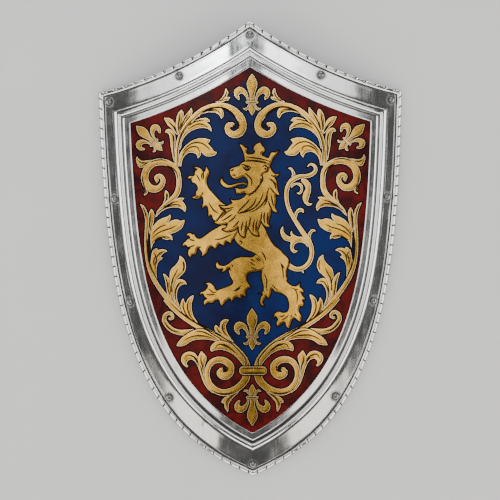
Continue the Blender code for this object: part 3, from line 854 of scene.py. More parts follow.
def from_panel(sizes, distance):
    """The ring at one distance outside the border's inner edge."""
    return Ring(sizes, lambda edge, share: border_width(sizes, edge, share) - distance)


class Face:
    """The shield's curved front: a height for each place, with the rest points level."""

    def __init__(self, sizes):
        self.cross, self.long = sizes.cross_radius, sizes.length_radius
        underside = from_edge(sizes, sizes.roll_diameter / 2)
        corner, tip = underside.at(np.array((1.0, 2.0)))
        self.lean = (self.drop(corner) - self.drop(tip)) / (corner[1] - tip[1])
        self.rise = 0.0
        lowest = self.height(underside.at(np.linspace(0, 2, CURVE_STEPS + 1))).min()
        self.rise = sizes.roll_diameter / 2 - sizes.roll_centre - sizes.flat_depth - lowest

    def drop(self, points):
        """How far the curves fall away from the middle."""
        return points[..., 0] ** 2 / (2 * self.cross) + points[..., 1] ** 2 / (2 * self.long)

    def height(self, points):
        """The face's height above the ground."""
        return self.rise + self.lean * points[..., 1] - self.drop(points)

    def normal(self, points):
        """Unit directions square to the face."""
        slopes = np.column_stack((points[:, 0] / self.cross, points[:, 1] / self.long - self.lean))
        normals = np.column_stack((slopes, np.ones(len(points))))
        return normals / np.linalg.norm(normals, axis=1)[:, None]

    def lift(self, points, above=0.0):
        """The points in space, at a height above the face."""
        return np.column_stack((points, self.height(points) + above))


def wave(points, scale, seed):
    """Smooth noise from -1 to 1 at places on the shield, with waves of a size."""
    return np.array([noise.noise((x / scale, y / scale, seed)) for x, y in points])


def border_front(sizes):
    """Each row from the quirk inward over the mouldings.

    A row is (ring, height, waviness, painted shade near the top, painted shade near the tip).
    """
    front = sizes.clearance + sizes.sheet
    start, quirk = sizes.roll_diameter, sizes.quirk_width
    flange = start + quirk
    mouldings = sizes.band_width + sizes.hollow_width + sizes.bead_width + sizes.groove_width
    # Painted shade fills the quirk, fading towards the flange
    rows = [
        (from_edge(sizes, start + share * quirk), front - depth * sizes.quirk_depth, 0.0, shade_and_grime, shade_and_grime)
        for share, depth, shade_and_grime in QUIRK_ROWS
    ]
    rows.append((from_edge(sizes, flange * 1.03), front, 0.2, 0.0, 0.0))
    for share in FLANGE_SHARES:
        ring = Ring(sizes, lambda edge, at, share=share: flange + share * (
            border_width(sizes, edge, at) - mouldings - flange))
        rows.append((ring, front, 1.0, 0.0, 0.0))
    for share in GROOVE_SHARES:
        # Painted shade darkens the groove as deep as it is hollow
        hollow = math.sin(math.pi * share) ** 0.7 if share else 0.0
        ring = from_panel(sizes, mouldings - share * sizes.groove_width)
        rows.append((ring, front - hollow * sizes.groove_depth, 0.5, 0.95 * hollow, hollow))
    inner = sizes.band_width + sizes.hollow_width
    for step in range(BEAD_STEPS + 1):
        turn = math.pi * step / BEAD_STEPS
        across = inner + sizes.bead_width / 2 * (1 + math.cos(turn))
        # Painted shade on the bead: only at its feet near the top, and up its flanks towards the crest near
        # the tip
        thin = 0.9 * max(0.0, 1 - 4 * math.sin(turn))
        wide = float(rise(math.sin(turn), 0.85, 0.45))
        above = front + sizes.bead_height * math.sin(turn)
        rows.append((from_panel(sizes, across), above, 0.7, thin, wide))
    # Painted shade in the hollow, heavier near the tip
    for share, thin, wide in HOLLOW_ROWS:
        depth = sizes.hollow_depth * min(1.0, 1.6 * math.sin(math.pi * share))
        ring = from_panel(sizes, sizes.band_width + share * sizes.hollow_width)
        rows.append((ring, front - depth, 0.5, thin, wide))
    for share in BAND_SHARES:
        rows.append((from_panel(sizes, share * sizes.band_width), front, 0.5, 0.0, 0.0))
    chamfer = sizes.band_chamfer
    for share in CHAMFER_SHARES:
        down = chamfer * (1 - math.sqrt(1 - (1 - share) ** 2))
        rows.append((from_panel(sizes, share * chamfer), front - down, 0.0, 0.0, 0.0))
    return rows


def border_back(sizes):
    """(ring, height) of each row back along the underside to the rolled edge."""
    middle = sizes.band_width + sizes.hollow_width + sizes.bead_width / 2
    rows = [(from_panel(sizes, 0.0), sizes.clearance)]
    for step in range(BEAD_STEPS // 2, -1, -1):
        turn = math.pi * step / (BEAD_STEPS // 2)
        across = middle + (sizes.bead_width / 2 - sizes.sheet) * math.cos(turn)
        rows.append((from_panel(sizes, across), sizes.clearance + sizes.bead_height * math.sin(turn)))
    rows.append((from_edge(sizes, sizes.roll_diameter + sizes.quirk_width / 2), sizes.clearance))
    return rows


def section_places(sizes):
    """(place, share of a notch's depth, its painted shadow) of the sections, all the way round."""
    outer = from_edge(sizes, 0.0)
    places = []
    for edge, length in enumerate((*outer.lengths, *outer.lengths[::-1])):
        notches = 2 * round(length / sizes.rope_pitch / 2)
        half = sizes.notch_width / 2 / length
        for notch in range(notches):
            middle = edge + (notch + 0.5) / notches
            start, end = edge + notch / notches, edge + (notch + 1) / notches
            places += [(start, 0.0, 0.0), ((start + middle) / 2, 0.0, 0.0)]
            for share, depth, shade_and_grime in NOTCH_SECTION:
                places.append((middle + share * half, depth, shade_and_grime))
            places.append(((end + middle) / 2, 0.0, 0.0))
    return np.array(places)


def roll_rows(sizes, face, places, depths, notch_shadow):
    """(points, painted shade) of each row round the rolled edge, from under it over its outer side."""
    radius = sizes.roll_diameter / 2
    wobble = wave(from_edge(sizes, radius).at(places), WAVE_ROLL, 3.0) * sizes.waviness / 2
    rows = []
    for angle in ROLL_ANGLES:
        turn = math.radians(angle)
        reach = rise(angle, *NOTCH_STARTS) * rise(angle, *NOTCH_ENDS)
        reach = reach * (1 - rise(angle, *NOTCH_HALVES) / 2)
        depth = depths * reach * sizes.notch_depth
        crest = from_edge(sizes, radius * (1 + math.cos(turn))).at(places)
        floor = from_edge(sizes, radius + (radius - sizes.notch_depth) * math.cos(turn)).at(places)
        share = (depth / sizes.notch_depth)[:, None]
        points = crest * (1 - share) + floor * share
        above = sizes.roll_centre + (radius - depth) * math.sin(turn) - np.abs(wobble) * (angle < 180)
        # Painted shadow blackens the rope notches, and painted shade darkens the roll's last row by the
        # quirk
        darkening = notch_shadow * rise(angle, *NOTCH_PAINTED_SHADOW) + SHADE_UNDER_ROLL * (angle == ROLL_ANGLES[-1])
        rows.append((face.lift(points, above), darkening))
    return rows


def dented(sizes, face, points, above, waviness):
    """A row of the border's front with its waves, dents and the nick in the bead."""
    low = (wave(points, WAVE_LONG, 0.5) - 1) * sizes.waviness * waviness
    fine = (wave(points, WAVE_SHORT, 7.5) - 1) * sizes.waviness * FINE_WAVES * waviness
    row = face.lift(points, above + low + fine)
    for pixel, radius, depth in DENTS:
        away = np.linalg.norm(points - to_shield([pixel])[0], axis=1) / radius
        row[:, 2] -= depth * np.exp(-away**2)
    return row


def join_rows(faces, first, second):
    """Faces between two closed rows of (place, number), which may differ in count."""
    a = b = 0
    while a < len(first) or b < len(second):
        here_a, here_b = first[a % len(first)][1], second[b % len(second)][1]
        ahead_a, ahead_b = first[(a + 1) % len(first)][1], second[(b + 1) % len(second)][1]
        place_a = first[a + 1][0] if a + 1 < len(first) else 4.0 + (a == len(first))
        place_b = second[b + 1][0] if b + 1 < len(second) else 4.0 + (b == len(second))
        if abs(place_a - place_b) < TINY:
            faces.append((here_a, ahead_a, ahead_b, here_b))
            a, b = a + 1, b + 1
        elif place_a < place_b:
            faces.append((here_a, ahead_a, here_b))
            a += 1
        else:
            faces.append((here_a, ahead_b, here_b))
            b += 1


def rivet_shadow_ring(sizes, points, rivets):
    """The painted shadow on the flange round each rivet's head, from 0 to 1."""
    away = np.min([np.linalg.norm(points - np.array(rivet), axis=1) for rivet in rivets], axis=0)
    start = sizes.rivet_head / 2 + RIVET_SHADOW_REACH / 3
    return np.interp(away, (start, start + RIVET_SHADOW_REACH), (HALO_SHADOW, 0.0))


def border_mesh(sizes, face):
    """Points, their painted shade and grime, and the faces of the whole steel border, closed all the way
    round.
    """
    fine, depths, notch_shadow = section_places(sizes).T
    coarse = fine[notch_shadow == 0]
    clean = np.zeros(len(coarse))
    rivets = [place.translation.to_2d() for _, place in rivet_axes(sizes, face)]
    rows = [(fine, row, darkening) for row, darkening in roll_rows(sizes, face, fine, depths, notch_shadow)]
    for ring, above, waviness, shade_above, shade_below in border_front(sizes):
        points = ring.at(coarse)
        # Painted shadow round each rivet on the flange's rows
        rivet_shadow = rivet_shadow_ring(sizes, points, rivets) if waviness == 1.0 else clean
        # Painted shade: the mouldings' pattern near the top turns into the wider one towards the tip, and
        # the painted shadows round the rivets are kept where darker
        low = rise(points[:, 1], SHADE_STARTS, SHADE_WIDEST)
        darkening = np.maximum(rivet_shadow, shade_above + (shade_below - shade_above) * low)
        rows.append((coarse, dented(sizes, face, points, above, waviness), darkening))
    # The border's underside carries an even painted shade
    for ring, above in border_back(sizes):
        rows.append((coarse, face.lift(ring.at(coarse), above), clean + SHADE_BEHIND))
    points, shade_and_grime, faces, numbered = [], [], [], []
    for places, row, darkening in rows:
        start = len(points)
        points += [(x, y, min(max(z, 0.0), CAD_HIGH[2])) for x, y, z in row]
        shade_and_grime += darkening.tolist()
        numbered.append([(place, start + number) for number, place in enumerate(places)])
    for first, second in zip(numbered, numbered[1:] + numbered[:1]):
        join_rows(faces, first, second)
    return points, shade_and_grime, faces


def tidy_mesh(name, points, faces, slots=None, sharp_angle=None, shade_and_grime=None):
    """A clean mesh with its faces turned outward and no doubled points.

    The darkening is a number from 0 to 1 for each point, painted shade and some grime, which the steel's
    material reads.
    """
    bm = bmesh.new()
    layer = bm.verts.layers.float.new("shade_and_grime")
    made = [bm.verts.new(point) for point in points]
    for vertex, share in zip(made, shade_and_grime or []):
        vertex[layer] = share
    for number, corners in enumerate(faces):
        laid = bm.faces.new([made[corner] for corner in corners])
        laid.material_index = slots[number] if slots else 0
    bmesh.ops.remove_doubles(bm, verts=bm.verts[:], dist=MERGED)
    bmesh.ops.dissolve_degenerate(bm, edges=bm.edges[:], dist=MERGED / 20)
    bmesh.ops.recalc_face_normals(bm, faces=bm.faces[:])
    mesh = bpy.data.meshes.new(name)
    bm.to_mesh(mesh)
    bm.free()
    mesh.shade_smooth()
    if sharp_angle:
        mesh.set_sharp_from_angle(angle=sharp_angle)
    return mesh


def grid_inside(outline, step, margin):
    """Points of a square grid that lie well inside an outline."""
    low, high = outline.min(0), outline.max(0)
    x, y = np.meshgrid(np.arange(low[0], high[0], step), np.arange(low[1], high[1], step))
    points = np.column_stack((x.ravel(), y.ravel()))
    points = points[inside(points, outline)]
    return points[away_from(points, outline) > margin]


def triangulate(outlines, loose):
    """Points and triangles of a plane parted along outlines, in metres."""
    points, edges = [], []
    for outline in outlines:
        start, count = len(points), len(outline)
        points += [Vector(point) for point in (outline * MILLIMETRES).tolist()]
        edges += [(start + step, start + (step + 1) % count) for step in range(count)]
    points += [Vector(point) for point in (loose * MILLIMETRES).tolist()]
    made, _, triangles, *_ = delaunay_2d_cdt(points, edges, [], 0, MEETING_IN_MILLIMETRES, False)
    return np.array([tuple(point) for point in made]) / MILLIMETRES, np.array(triangles)


def paint_faces(painting, centres):
    """The colour number of each face, from the last layer that covers its centre."""
    colours = np.zeros(len(centres), int)
    for colour, outline, spared in painting.layers:
        low, high = outline.min(0), outline.max(0)
        near = np.nonzero(((centres >= low) & (centres <= high)).all(1))[0]
        if len(near):
            covered = near[inside(centres[near], outline)]
            for spare in spared:
                covered = covered[~inside(centres[covered], spare)]
            colours[covered] = PANEL_COLOURS.index(colour)
    return colours


def panel_mesh(sizes, face, painting):
    """The painted plate: its face cut along every drawn line, and each face's colour."""
    outline = from_edge(sizes, sizes.panel_inset).at(np.linspace(0, 4, PANEL_SIDES, endpoint=False))
    drawn = [shape for _, shape, _ in painting.layers[1:]]
    drawn += list({id(spare): spare for *_, spared in painting.layers for spare in spared}.values())
    flat, triangles = triangulate([outline] + drawn, grid_inside(outline, FACE_STEP, FACE_STEP / 2))
    centres = flat[triangles].mean(axis=1)
    kept = inside(centres, outline)
    triangles, centres = triangles[kept], centres[kept]
    colours = paint_faces(painting, centres)
    back_flat, back = triangulate([outline], grid_inside(outline, 2 * FACE_STEP, FACE_STEP))
    back = back[inside(back_flat[back].mean(axis=1), outline)]
    points = np.vstack((
        face.lift(flat), face.lift(back_flat, -sizes.panel_thickness),
        face.lift(outline), face.lift(outline, -sizes.panel_thickness),
    ))
    faces = triangles.tolist() + (back + len(flat)).tolist()
    rim, count = len(flat) + len(back_flat), len(outline)
    for step in range(count):
        ahead = (step + 1) % count
        faces.append((rim + step, rim + ahead, rim + count + ahead, rim + count + step))
    plain = PANEL_COLOURS.index("back")
    slots = colours.tolist() + [plain] * (len(faces) - len(colours))
    mesh = tidy_mesh("panel_face", points.tolist(), faces, slots)
    follow_face(mesh, face)
    return mesh


def follow_face(mesh, face):
    """Gives the front and back the curved face's own directions, so that they shade smoothly."""
    corners = np.zeros(len(mesh.loops), int)
    mesh.loops.foreach_get("vertex_index", corners)
    places = np.zeros(3 * len(mesh.vertices))
    mesh.vertices.foreach_get("co", places)
    curved = face.normal(places.reshape(-1, 3)[:, :2])[corners]
    flat = np.zeros(3 * len(mesh.polygons))
    mesh.polygons.foreach_get("normal", flat)
    totals = np.zeros(len(mesh.polygons), int)
    mesh.polygons.foreach_get("loop_total", totals)
    flat = np.repeat(flat.reshape(-1, 3), totals, axis=0)
    upward = np.sign(flat[:, 2:]) * (np.abs(flat[:, 2:]) > 0.3)
    mesh.normals_split_custom_set(np.where(upward == 0, flat, curved * upward).tolist())


def rivet_profile(sizes):
    """Half section of a set rivet with its darkening, painted shade towards the dome's edge, from the top
    of its dome to its tail's end.
    """
    gap = sizes.clearance
    dome = []
    for ring in range(DOME_RINGS + 1):
        turn = math.pi / 2 * ring / DOME_RINGS
        # Painted shade darkens the dome towards its edge
        shade_and_grime = float(np.interp(math.sin(turn), DOME_SHADE_SHARES, (0.0, DOME_SHADE)))
        dome.append((sizes.rivet_head / 2 * math.sin(turn), gap + sizes.rivet_dome * math.cos(turn), shade_and_grime))
    seat = -(2 * gap + sizes.sheet + sizes.panel_thickness)
    shank = [(sizes.rivet_shank / 2, gap, 1.0), (sizes.rivet_shank / 2, seat, 1.0)]
    tail = [
        (share * sizes.rivet_tail / 2, seat - depth * sizes.rivet_tail_height, shade_and_grime)
        for share, depth, shade_and_grime in TAIL_PROFILE
    ]
    return dome + shank + tail


def rivet_axes(sizes, face):
    """(name, matrix) of each rivet, with its foot on the flange and its axis square to the face."""
    line = Ring(sizes, lambda edge, share: np.full_like(
        share, sizes.rivet_line_side if edge else sizes.rivet_line_top))
    right = [("top", sizes.top_rivet), ("corner", 1.0)]
    right += [(f"side_{number}", 1.0 + share) for number, share in enumerate(sizes.side_rivets, 1)]
    places = [("peak", 0.0), ("tip", 2.0)]
    for name, place in right:
        places += [(f"{name}_right", place), (f"{name}_left", 4.0 - place)]
    axes = []
    for name, place in places:
        point = line.at(np.array((place,)))
        turn = Vector(face.normal(point)[0]).to_track_quat("Z", "Y").to_matrix().to_4x4()
        foot = face.lift(point, sizes.clearance + sizes.sheet)[0]
        axes.append((name, Matrix.Translation(foot) @ turn))
    return axes


def turned_mesh(name, profile, place):
    """A round solid: (radius, height, dirt) points, turned about the Z axis of a place."""
    points, rings, shade_and_grime = [], [], []
    for radius, height, darkening in profile:
        sides = RIVET_SIDES if radius > 0.0 else 1
        shade_and_grime += [darkening] * sides
        rings.append([len(points) + side for side in range(sides)])
        for side in range(sides):
            turn = 2 * math.pi * side / sides
            points.append(place @ Vector((radius * math.cos(turn), radius * math.sin(turn), height)))
    faces = []
    for upper, lower in zip(rings, rings[1:]):
        for side in range(RIVET_SIDES):
            ahead = (side + 1) % RIVET_SIDES
            corners = [upper[side % len(upper)], upper[ahead % len(upper)]]
            corners += [lower[ahead % len(lower)], lower[side % len(lower)]]
            faces.append(list(dict.fromkeys(corners)))
    return tidy_mesh(name, points, faces, sharp_angle=SHARP_ANGLE, shade_and_grime=shade_and_grime)


class Tree:
    """A node tree under construction."""

    def __init__(self, tree):
        self.tree = tree

    def plug(self, node, inputs):
        """Gives inputs of a node, which are values or other sockets."""
        for name, value in inputs.items():
            if isinstance(value, bpy.types.NodeSocket):
                self.tree.links.new(value, node.inputs[name])
            else:
                node.inputs[name].default_value = value

    def add(self, kind, inputs=None, **settings):
        """Adds a node with its settings and inputs."""
        made = self.tree.nodes.new(kind)
        for key, value in settings.items():
            setattr(made, key, value)
        self.plug(made, inputs or {})
        return made

    def noise(self, vector, scale, detail=3.0, roughness=0.5, distortion=0.0):
        """Cloudy values about a half."""
        return self.add("ShaderNodeTexNoise", {
            "Vector": vector, "Scale": scale, "Detail": detail, "Roughness": roughness,
            "Distortion": distortion}).outputs["Fac"]

    def math(self, operation, first, second, clamp=False):
        """The result of a sum, product or other operation on two values."""
        return self.add("ShaderNodeMath", {0: first, 1: second}, operation=operation,
                        use_clamp=clamp).outputs[0]

    def total(self, start, *parts):
        """A start plus parts, which are (value, factor)."""
        for value, factor in parts:
            start = self.math("ADD", self.math("MULTIPLY", value, factor), start)
        return start

    def ramp(self, value, start, end):
        """A smooth step from 0 at the start to 1 at the end."""
        return self.add("ShaderNodeMapRange", {"Value": value, "From Min": start, "From Max": end},
                        interpolation_type="SMOOTHSTEP").outputs["Result"]

    def mix(self, share, first, second):
        """A blend of two colours, which are the node's inputs 6 and 7."""
        return self.add("ShaderNodeMix", {0: share, 6: first, 7: second}, data_type="RGBA").outputs[2]

    def stretched(self, vector, turn, size):
        """Coordinates turned about Z and then scaled."""
        return self.add("ShaderNodeMapping", {
            "Vector": vector, "Rotation": (0.0, 0.0, turn), "Scale": size}).outputs["Vector"]


def new_group(name, result, **numbers):
    """An empty group that takes a Vector and numbers: (tree, its inputs, its output node)."""
    group = bpy.data.node_groups.new(name, "ShaderNodeTree")
    group.interface.new_socket("Vector", in_out="INPUT", socket_type="NodeSocketVector")
    for label, default in numbers.items():
        socket = group.interface.new_socket(label, in_out="INPUT", socket_type="NodeSocketFloat")
        socket.default_value = default
    group.interface.new_socket(result, in_out="OUTPUT", socket_type="NodeSocketFloat")
    tree = Tree(group)
    return tree, tree.add("NodeGroupInput").outputs, tree.add("NodeGroupOutput")


def scratch_group(name):
    """Fine hairline scratches in three directions: a mask of 0 to 1."""
    tree, given, out = new_group(name, "Mask", Density=0.5)
    masks = []
    for turn, seed in ((0.5, 0.0), (1.9, 3.1), (2.7, 7.7)):
        spot = tree.stretched(given["Vector"], turn, (900.0, 22.0, 1.0))
        moved = tree.add("ShaderNodeVectorMath", {0: spot, 1: (seed, seed, seed)}).outputs[0]
        fine = tree.noise(moved, 1.0, 1.0)
        where = tree.noise(tree.stretched(given["Vector"], turn, (45.0, 45.0, 1.0)), 1.0, 2.0)
        masks.append(tree.math("MULTIPLY", tree.ramp(fine, 0.70, 0.80), tree.ramp(where, 0.45, 0.62)))
    most = tree.math("MAXIMUM", tree.math("MAXIMUM", masks[0], masks[1]), masks[2])
    tree.plug(out, {"Mask": tree.math("MULTIPLY", most, given["Density"], True)})
    return tree.tree


def mottle_group(name):
    """Cloudy patches with finer speckle in them: a value of 0 to 1."""
    tree, given, out = new_group(name, "Value", Scale=60.0, Contrast=0.2)
    cloud = tree.noise(given["Vector"], given["Scale"], 5.0, 0.6, 0.4)
    low = tree.math("SUBTRACT", 0.5, given["Contrast"])
    high = tree.math("ADD", 0.5, given["Contrast"])
    tree.plug(out, {"Value": tree.ramp(cloud, low, high)})
    return tree.tree


def streak_group(name):
    """Soft polishing streaks along the sheet: a value of 0 to 1."""
    tree, given, out = new_group(name, "Value", Turn=0.0)
    turn = tree.add("ShaderNodeCombineXYZ", {"Z": given["Turn"]}).outputs[0]
    spot = tree.add("ShaderNodeMapping", {
        "Vector": given["Vector"], "Rotation": turn, "Scale": (420.0, 30.0, 30.0)}).outputs[0]
    tree.plug(out, {"Value": tree.ramp(tree.noise(spot, 1.0, 4.0, 0.6, 0.3), 0.3, 0.7)})
    return tree.tree


GROUPS = {"Hairline scratches": scratch_group, "Mottle": mottle_group, "Polishing streaks": streak_group}


def use_group(tree, name, **inputs):
    """The result of a shared node group, which is made at its first use."""
    group = bpy.data.node_groups.get(name) or GROUPS[name](name)
    return tree.add("ShaderNodeGroup", inputs, node_tree=group).outputs[0]


def linear(colour, light=1.0):
    """A colour with its alpha, darkened by a share."""
    return (*(channel * light for channel in colour), 1.0)


def new_material(name):
    """A material and its parts: (material, tree, shader, object coordinates)."""
    material = bpy.data.materials.new(name)
    material.use_nodes = True
    tree = Tree(material.node_tree)
    shader = material.node_tree.nodes["Principled BSDF"]
    return material, tree, shader, tree.add("ShaderNodeTexCoord").outputs["Object"]


def finish_shader(tree, shader, sockets, height, strength, distance):
    """Plugs sockets into the shader, and a height through a bump."""
    bump = tree.add("ShaderNodeBump", {"Height": height, "Strength": strength, "Distance": distance})
    tree.plug(shader, {**sockets, "Normal": bump.outputs["Normal"]})


def steel_material(name, colour, roughness, wear):
    """Polished steel, a little hammered, with the mesh's own painted shade and grime."""
    material, tree, shader, place = new_material(name)
    streaks = use_group(tree, "Polishing streaks", Vector=place, Turn=0.9)
    haze = use_group(tree, "Mottle", Vector=place, Scale=38.0, Contrast=0.18)
    scratches = use_group(tree, "Hairline scratches", Vector=place, Density=wear)
    # Painted shade and grime from the mesh darken the steel nearly to black and roughen it
    shade_and_grime = tree.add("ShaderNodeAttribute", attribute_name="shade_and_grime").outputs["Fac"]
    cloudy = tree.mix(haze, linear(colour, 0.92), linear(colour))
    worn = tree.mix(scratches, cloudy, linear(colour, 0.7))
    darkening = (0.012, 0.011, 0.010, 1.0)
    base = tree.mix(tree.math("MULTIPLY", shade_and_grime, 0.96), worn, darkening)
    rough = tree.total(roughness, (streaks, 0.06), (haze, 0.05), (shade_and_grime, 0.3))
    hammered = tree.noise(tree.stretched(place, 0.0, (22.0, 9.0, 9.0)), 1.0, 1.0, 0.35, 0.3)
    height = tree.total(0.0, (hammered, 1.1), (streaks, 0.0015), (scratches, -0.004))
    finish_shader(tree, shader, {"Base Color": base, "Roughness": rough, "Metallic": 1.0},
                  height, strength=1.0, distance=0.001)
    return material


def enamel_material(name, dark, light, scale, roughness, right=None, shine=0.12):
    """Cloudy enamel with a fine speckle, which may change colour towards the right, where painted light
    makes it lighter.
    """
    material, tree, shader, place = new_material(name)
    light = linear(light)
    # Painted light: the enamel turns lighter towards the right
    if right:
        across = tree.add("ShaderNodeSeparateXYZ", {"Vector": place}).outputs["X"]
        light = tree.mix(tree.ramp(across, -0.07, 0.09), light, linear(right))
    cloud = use_group(tree, "Mottle", Vector=place, Scale=scale, Contrast=0.16)
    speckle = tree.ramp(tree.noise(place, 1400.0, 2.0, 0.6), 0.40, 0.66)
    scratches = use_group(tree, "Hairline scratches", Vector=place, Density=0.25)
    colour = tree.mix(cloud, linear(dark), light)
    colour = tree.mix(tree.math("MULTIPLY", speckle, 0.3), colour, light)
    rough = tree.total(roughness, (cloud, 0.12))
    height = tree.total(0.0, (speckle, 0.4), (scratches, -1.0))
    finish_shader(tree, shader, {"Base Color": colour, "Roughness": rough, "Specular IOR Level": shine},
                  height, strength=0.2, distance=0.0002)
    return material


def gilt_material(name, dark, light, roughness, metallic):
    """Worn gilding with a grain and scratches that show its darker ground."""
    material, tree, shader, place = new_material(name)
    cloud = use_group(tree, "Mottle", Vector=place, Scale=75.0, Contrast=0.2)
    grain = tree.noise(place, 900.0, 3.0, 0.6)
    scratches = use_group(tree, "Hairline scratches", Vector=place, Density=0.5)
    colour = tree.mix(cloud, linear(dark), linear(light))
    colour = tree.mix(scratches, colour, linear(dark, 0.6))
    rough = tree.total(roughness, (grain, 0.1))
    height = tree.math("SUBTRACT", grain, scratches)
    finish_shader(tree, shader, {"Base Color": colour, "Roughness": rough, "Metallic": metallic},
                  height, strength=0.3, distance=0.0003)
    return material


def back_material(name, colour):
    """Plain stained steel for the panel's hidden side."""
    material, tree, shader, place = new_material(name)
    stain = use_group(tree, "Mottle", Vector=place, Scale=22.0, Contrast=0.35)
    streaks = use_group(tree, "Polishing streaks", Vector=place, Turn=0.0)
    base = tree.mix(stain, linear(colour, 0.8), linear(colour))
    rough = tree.total(0.34, (stain, 0.15))
    finish_shader(tree, shader, {"Base Color": base, "Roughness": rough, "Metallic": 0.9},
                  streaks, strength=0.3, distance=0.0003)
    return material


def floor_material(name):
    """A pale matt floor, faintly clouded."""
    material, tree, shader, place = new_material(name)
    cloud = tree.noise(place, 6.0, 4.0, 0.6)
    colour = tree.mix(cloud, (0.50, 0.50, 0.495, 1.0), (0.54, 0.54, 0.535, 1.0))
    finish_shader(tree, shader, {"Base Color": colour, "Roughness": 0.75},
                  tree.noise(place, 400.0, 3.0), strength=0.1, distance=0.0004)
    return material


def panel_materials(colours):
    """The panel's materials in the order of PANEL_COLOURS."""
    made = {
        "crimson": enamel_material("crimson_enamel", colours.crimson_dark, colours.crimson, 38.0, 0.30),
        "blue": enamel_material("blue_enamel", colours.blue_dark, colours.blue, 16.0, 0.28,
                                right=colours.blue_lit_right),
        "ink": enamel_material("black_outline", colours.ink, colours.ink, 60.0, 0.35, shine=0.03),
        "vein": enamel_material("engraved_line", colours.engraving, colours.engraving, 60.0, 0.4,
                                shine=0.05),
        "rim": gilt_material("gilt_rim", colours.rim, colours.rim, 0.14, 0.8),
        "gold": gilt_material("gilding", colours.gold_dark, colours.gold, 0.12, 0.88),
        "shade": gilt_material("shaded_gilding", colours.shade_dark, colours.shade, 0.14, 0.85),
        "back": back_material("panel_back_steel", colours.back),
    }
    return [made[name] for name in PANEL_COLOURS]


def add_piece(mesh, name, materials, nodes):
    """Links a mesh as a piece of the shield that stands for nodes of the frame."""
    piece = bpy.data.objects.new(name, mesh)
    bpy.context.scene.collection.objects.link(piece)
    for material in materials:
        mesh.materials.append(material)
    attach(piece, "root")
    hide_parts(*nodes)


def length(name, default, description):
    """A length in metres."""
    return bpy.props.FloatProperty(
        name=name, description=description, default=default, min=0.0, unit="LENGTH", precision=5)


def turn_angle(name, degrees, description):
    """An angle, given in degrees."""
    return bpy.props.FloatProperty(
        name=name, description=description, default=math.radians(degrees), subtype="ANGLE")


def share_of(name, default, description):
    """A share from 0 to 1."""
    return bpy.props.FloatProperty(name=name, description=description, default=default, min=0.0, max=1.0)


def colour_of(name, default, description):
    """A linear colour."""
    return bpy.props.FloatVectorProperty(
        name=name, description=description, default=default, size=3, min=0.0, max=1.0, subtype="COLOR")


class ShieldSizes(bpy.types.PropertyGroup):
    """Driving sizes, which are the solid part's own given again, and the border's waviness."""

    height: length("Height", 0.700, "From the tip to the peak")
    width: length("Width", 0.468, "Across the two top corners")
    corner_drop: length("Corner drop", 0.108, "How far the corners lie below the peak")
    top_arc_radius: length("Top arc radius", 0.660, "Radius of each hollow top edge")
    side_lean: turn_angle("Side lean", 1.6, "Lean of the sides at the corners")
    side_handle: length("Side handle", 0.315, "Pull of the corner's end of the side curve")
    tip_half_angle: turn_angle("Tip half angle", 67.4, "Half the opening of the tip")
    tip_handle: length("Tip handle", 0.214, "Pull of the tip's end of the side curve")
    cross_radius: length("Cross radius", 0.82, "Curve of the face from side to side")
    length_radius: length("Length radius", 3.6, "Curve of the face from peak to tip")
    panel_thickness: length("Panel thickness", 0.0012, "Thickness of the painted plate")
    sheet: length("Sheet", 0.0015, "Thickness of the border's steel")
    clearance: length("Clearance", 0.0003, "Space between pieces that touch")
    panel_inset: length("Panel inset", 0.0105, "From the outer edge to the hidden edge of the panel")
    border_top: length("Border at the top", 0.0586, "Border width along the top edges")
    border_side: length("Border at the sides", 0.0475, "Border width down the sides")
    border_tip: length("Border at the tip", 0.0600, "Border width at the tip")
    swell_start: share_of("Swell start", 0.30, "Share of the side where the border starts to widen")
    swell_end: share_of("Swell end", 0.85, "Share of the side where it has its full width")
    roll_diameter: length("Roll diameter", 0.0076, "Diameter of the rolled edge")
    roll_centre: length("Roll centre", 0.0014, "Height of the rolled edge's middle above the face")
    quirk_width: length("Quirk width", 0.0024, "Groove inside the rolled edge")
    quirk_depth: length("Quirk depth", 0.0008, "Depth of that groove")
    rope_pitch: length("Rope pitch", 0.0156, "From one rope notch to the next")
    notch_width: length("Notch width", 0.0020, "Width of a rope notch")
    notch_depth: length("Notch depth", 0.0016, "Depth of a rope notch")
    band_width: length("Band width", 0.0094, "Flat band next to the panel")
    band_chamfer: length("Band chamfer", 0.0006, "Rounding of the band's inner edge")
    hollow_width: length("Hollow width", 0.0050, "Hollow moulding between the band and the bead")
    hollow_depth: length("Hollow depth", 0.0008, "Depth of the hollow moulding")
    bead_width: length("Bead width", 0.0102, "Half-round bead")
    bead_height: length("Bead height", 0.0032, "Height of the bead")
    groove_width: length("Groove width", 0.0020, "Groove outside the bead")
    groove_depth: length("Groove depth", 0.0009, "Depth of that groove")
    rivet_head: length("Rivet head", 0.0108, "Diameter of the domed heads")
    rivet_dome: length("Rivet dome", 0.0034, "Height of the domed heads")
    rivet_shank: length("Rivet shank", 0.0050, "Diameter of the shanks")
    rivet_tail: length("Rivet tail", 0.0080, "Diameter of the clenched tails")
    rivet_tail_height: length("Rivet tail height", 0.0012, "Height of the clenched tails")
    rivet_line_top: length("Rivet line, top", 0.0180, "From the outer edge to the rivets at the top")
    rivet_line_side: length("Rivet line, sides", 0.0158, "From the outer edge to the rivets at the sides")
    top_rivet: share_of("Top rivet", 0.52, "Place of the top rivets between peak and corner")
    side_rivets: bpy.props.FloatVectorProperty(
        name="Side rivets", description="Places of the side rivets between corner and tip",
        default=(0.235, 0.487, 0.737), size=3, min=0.0, max=1.0)
    flat_depth: length("Flat depth", 0.0008, "How far the rest flats cut into the rolled edge")
    waviness: length("Waviness", 0.00012, "Unevenness of the hand-worked border")


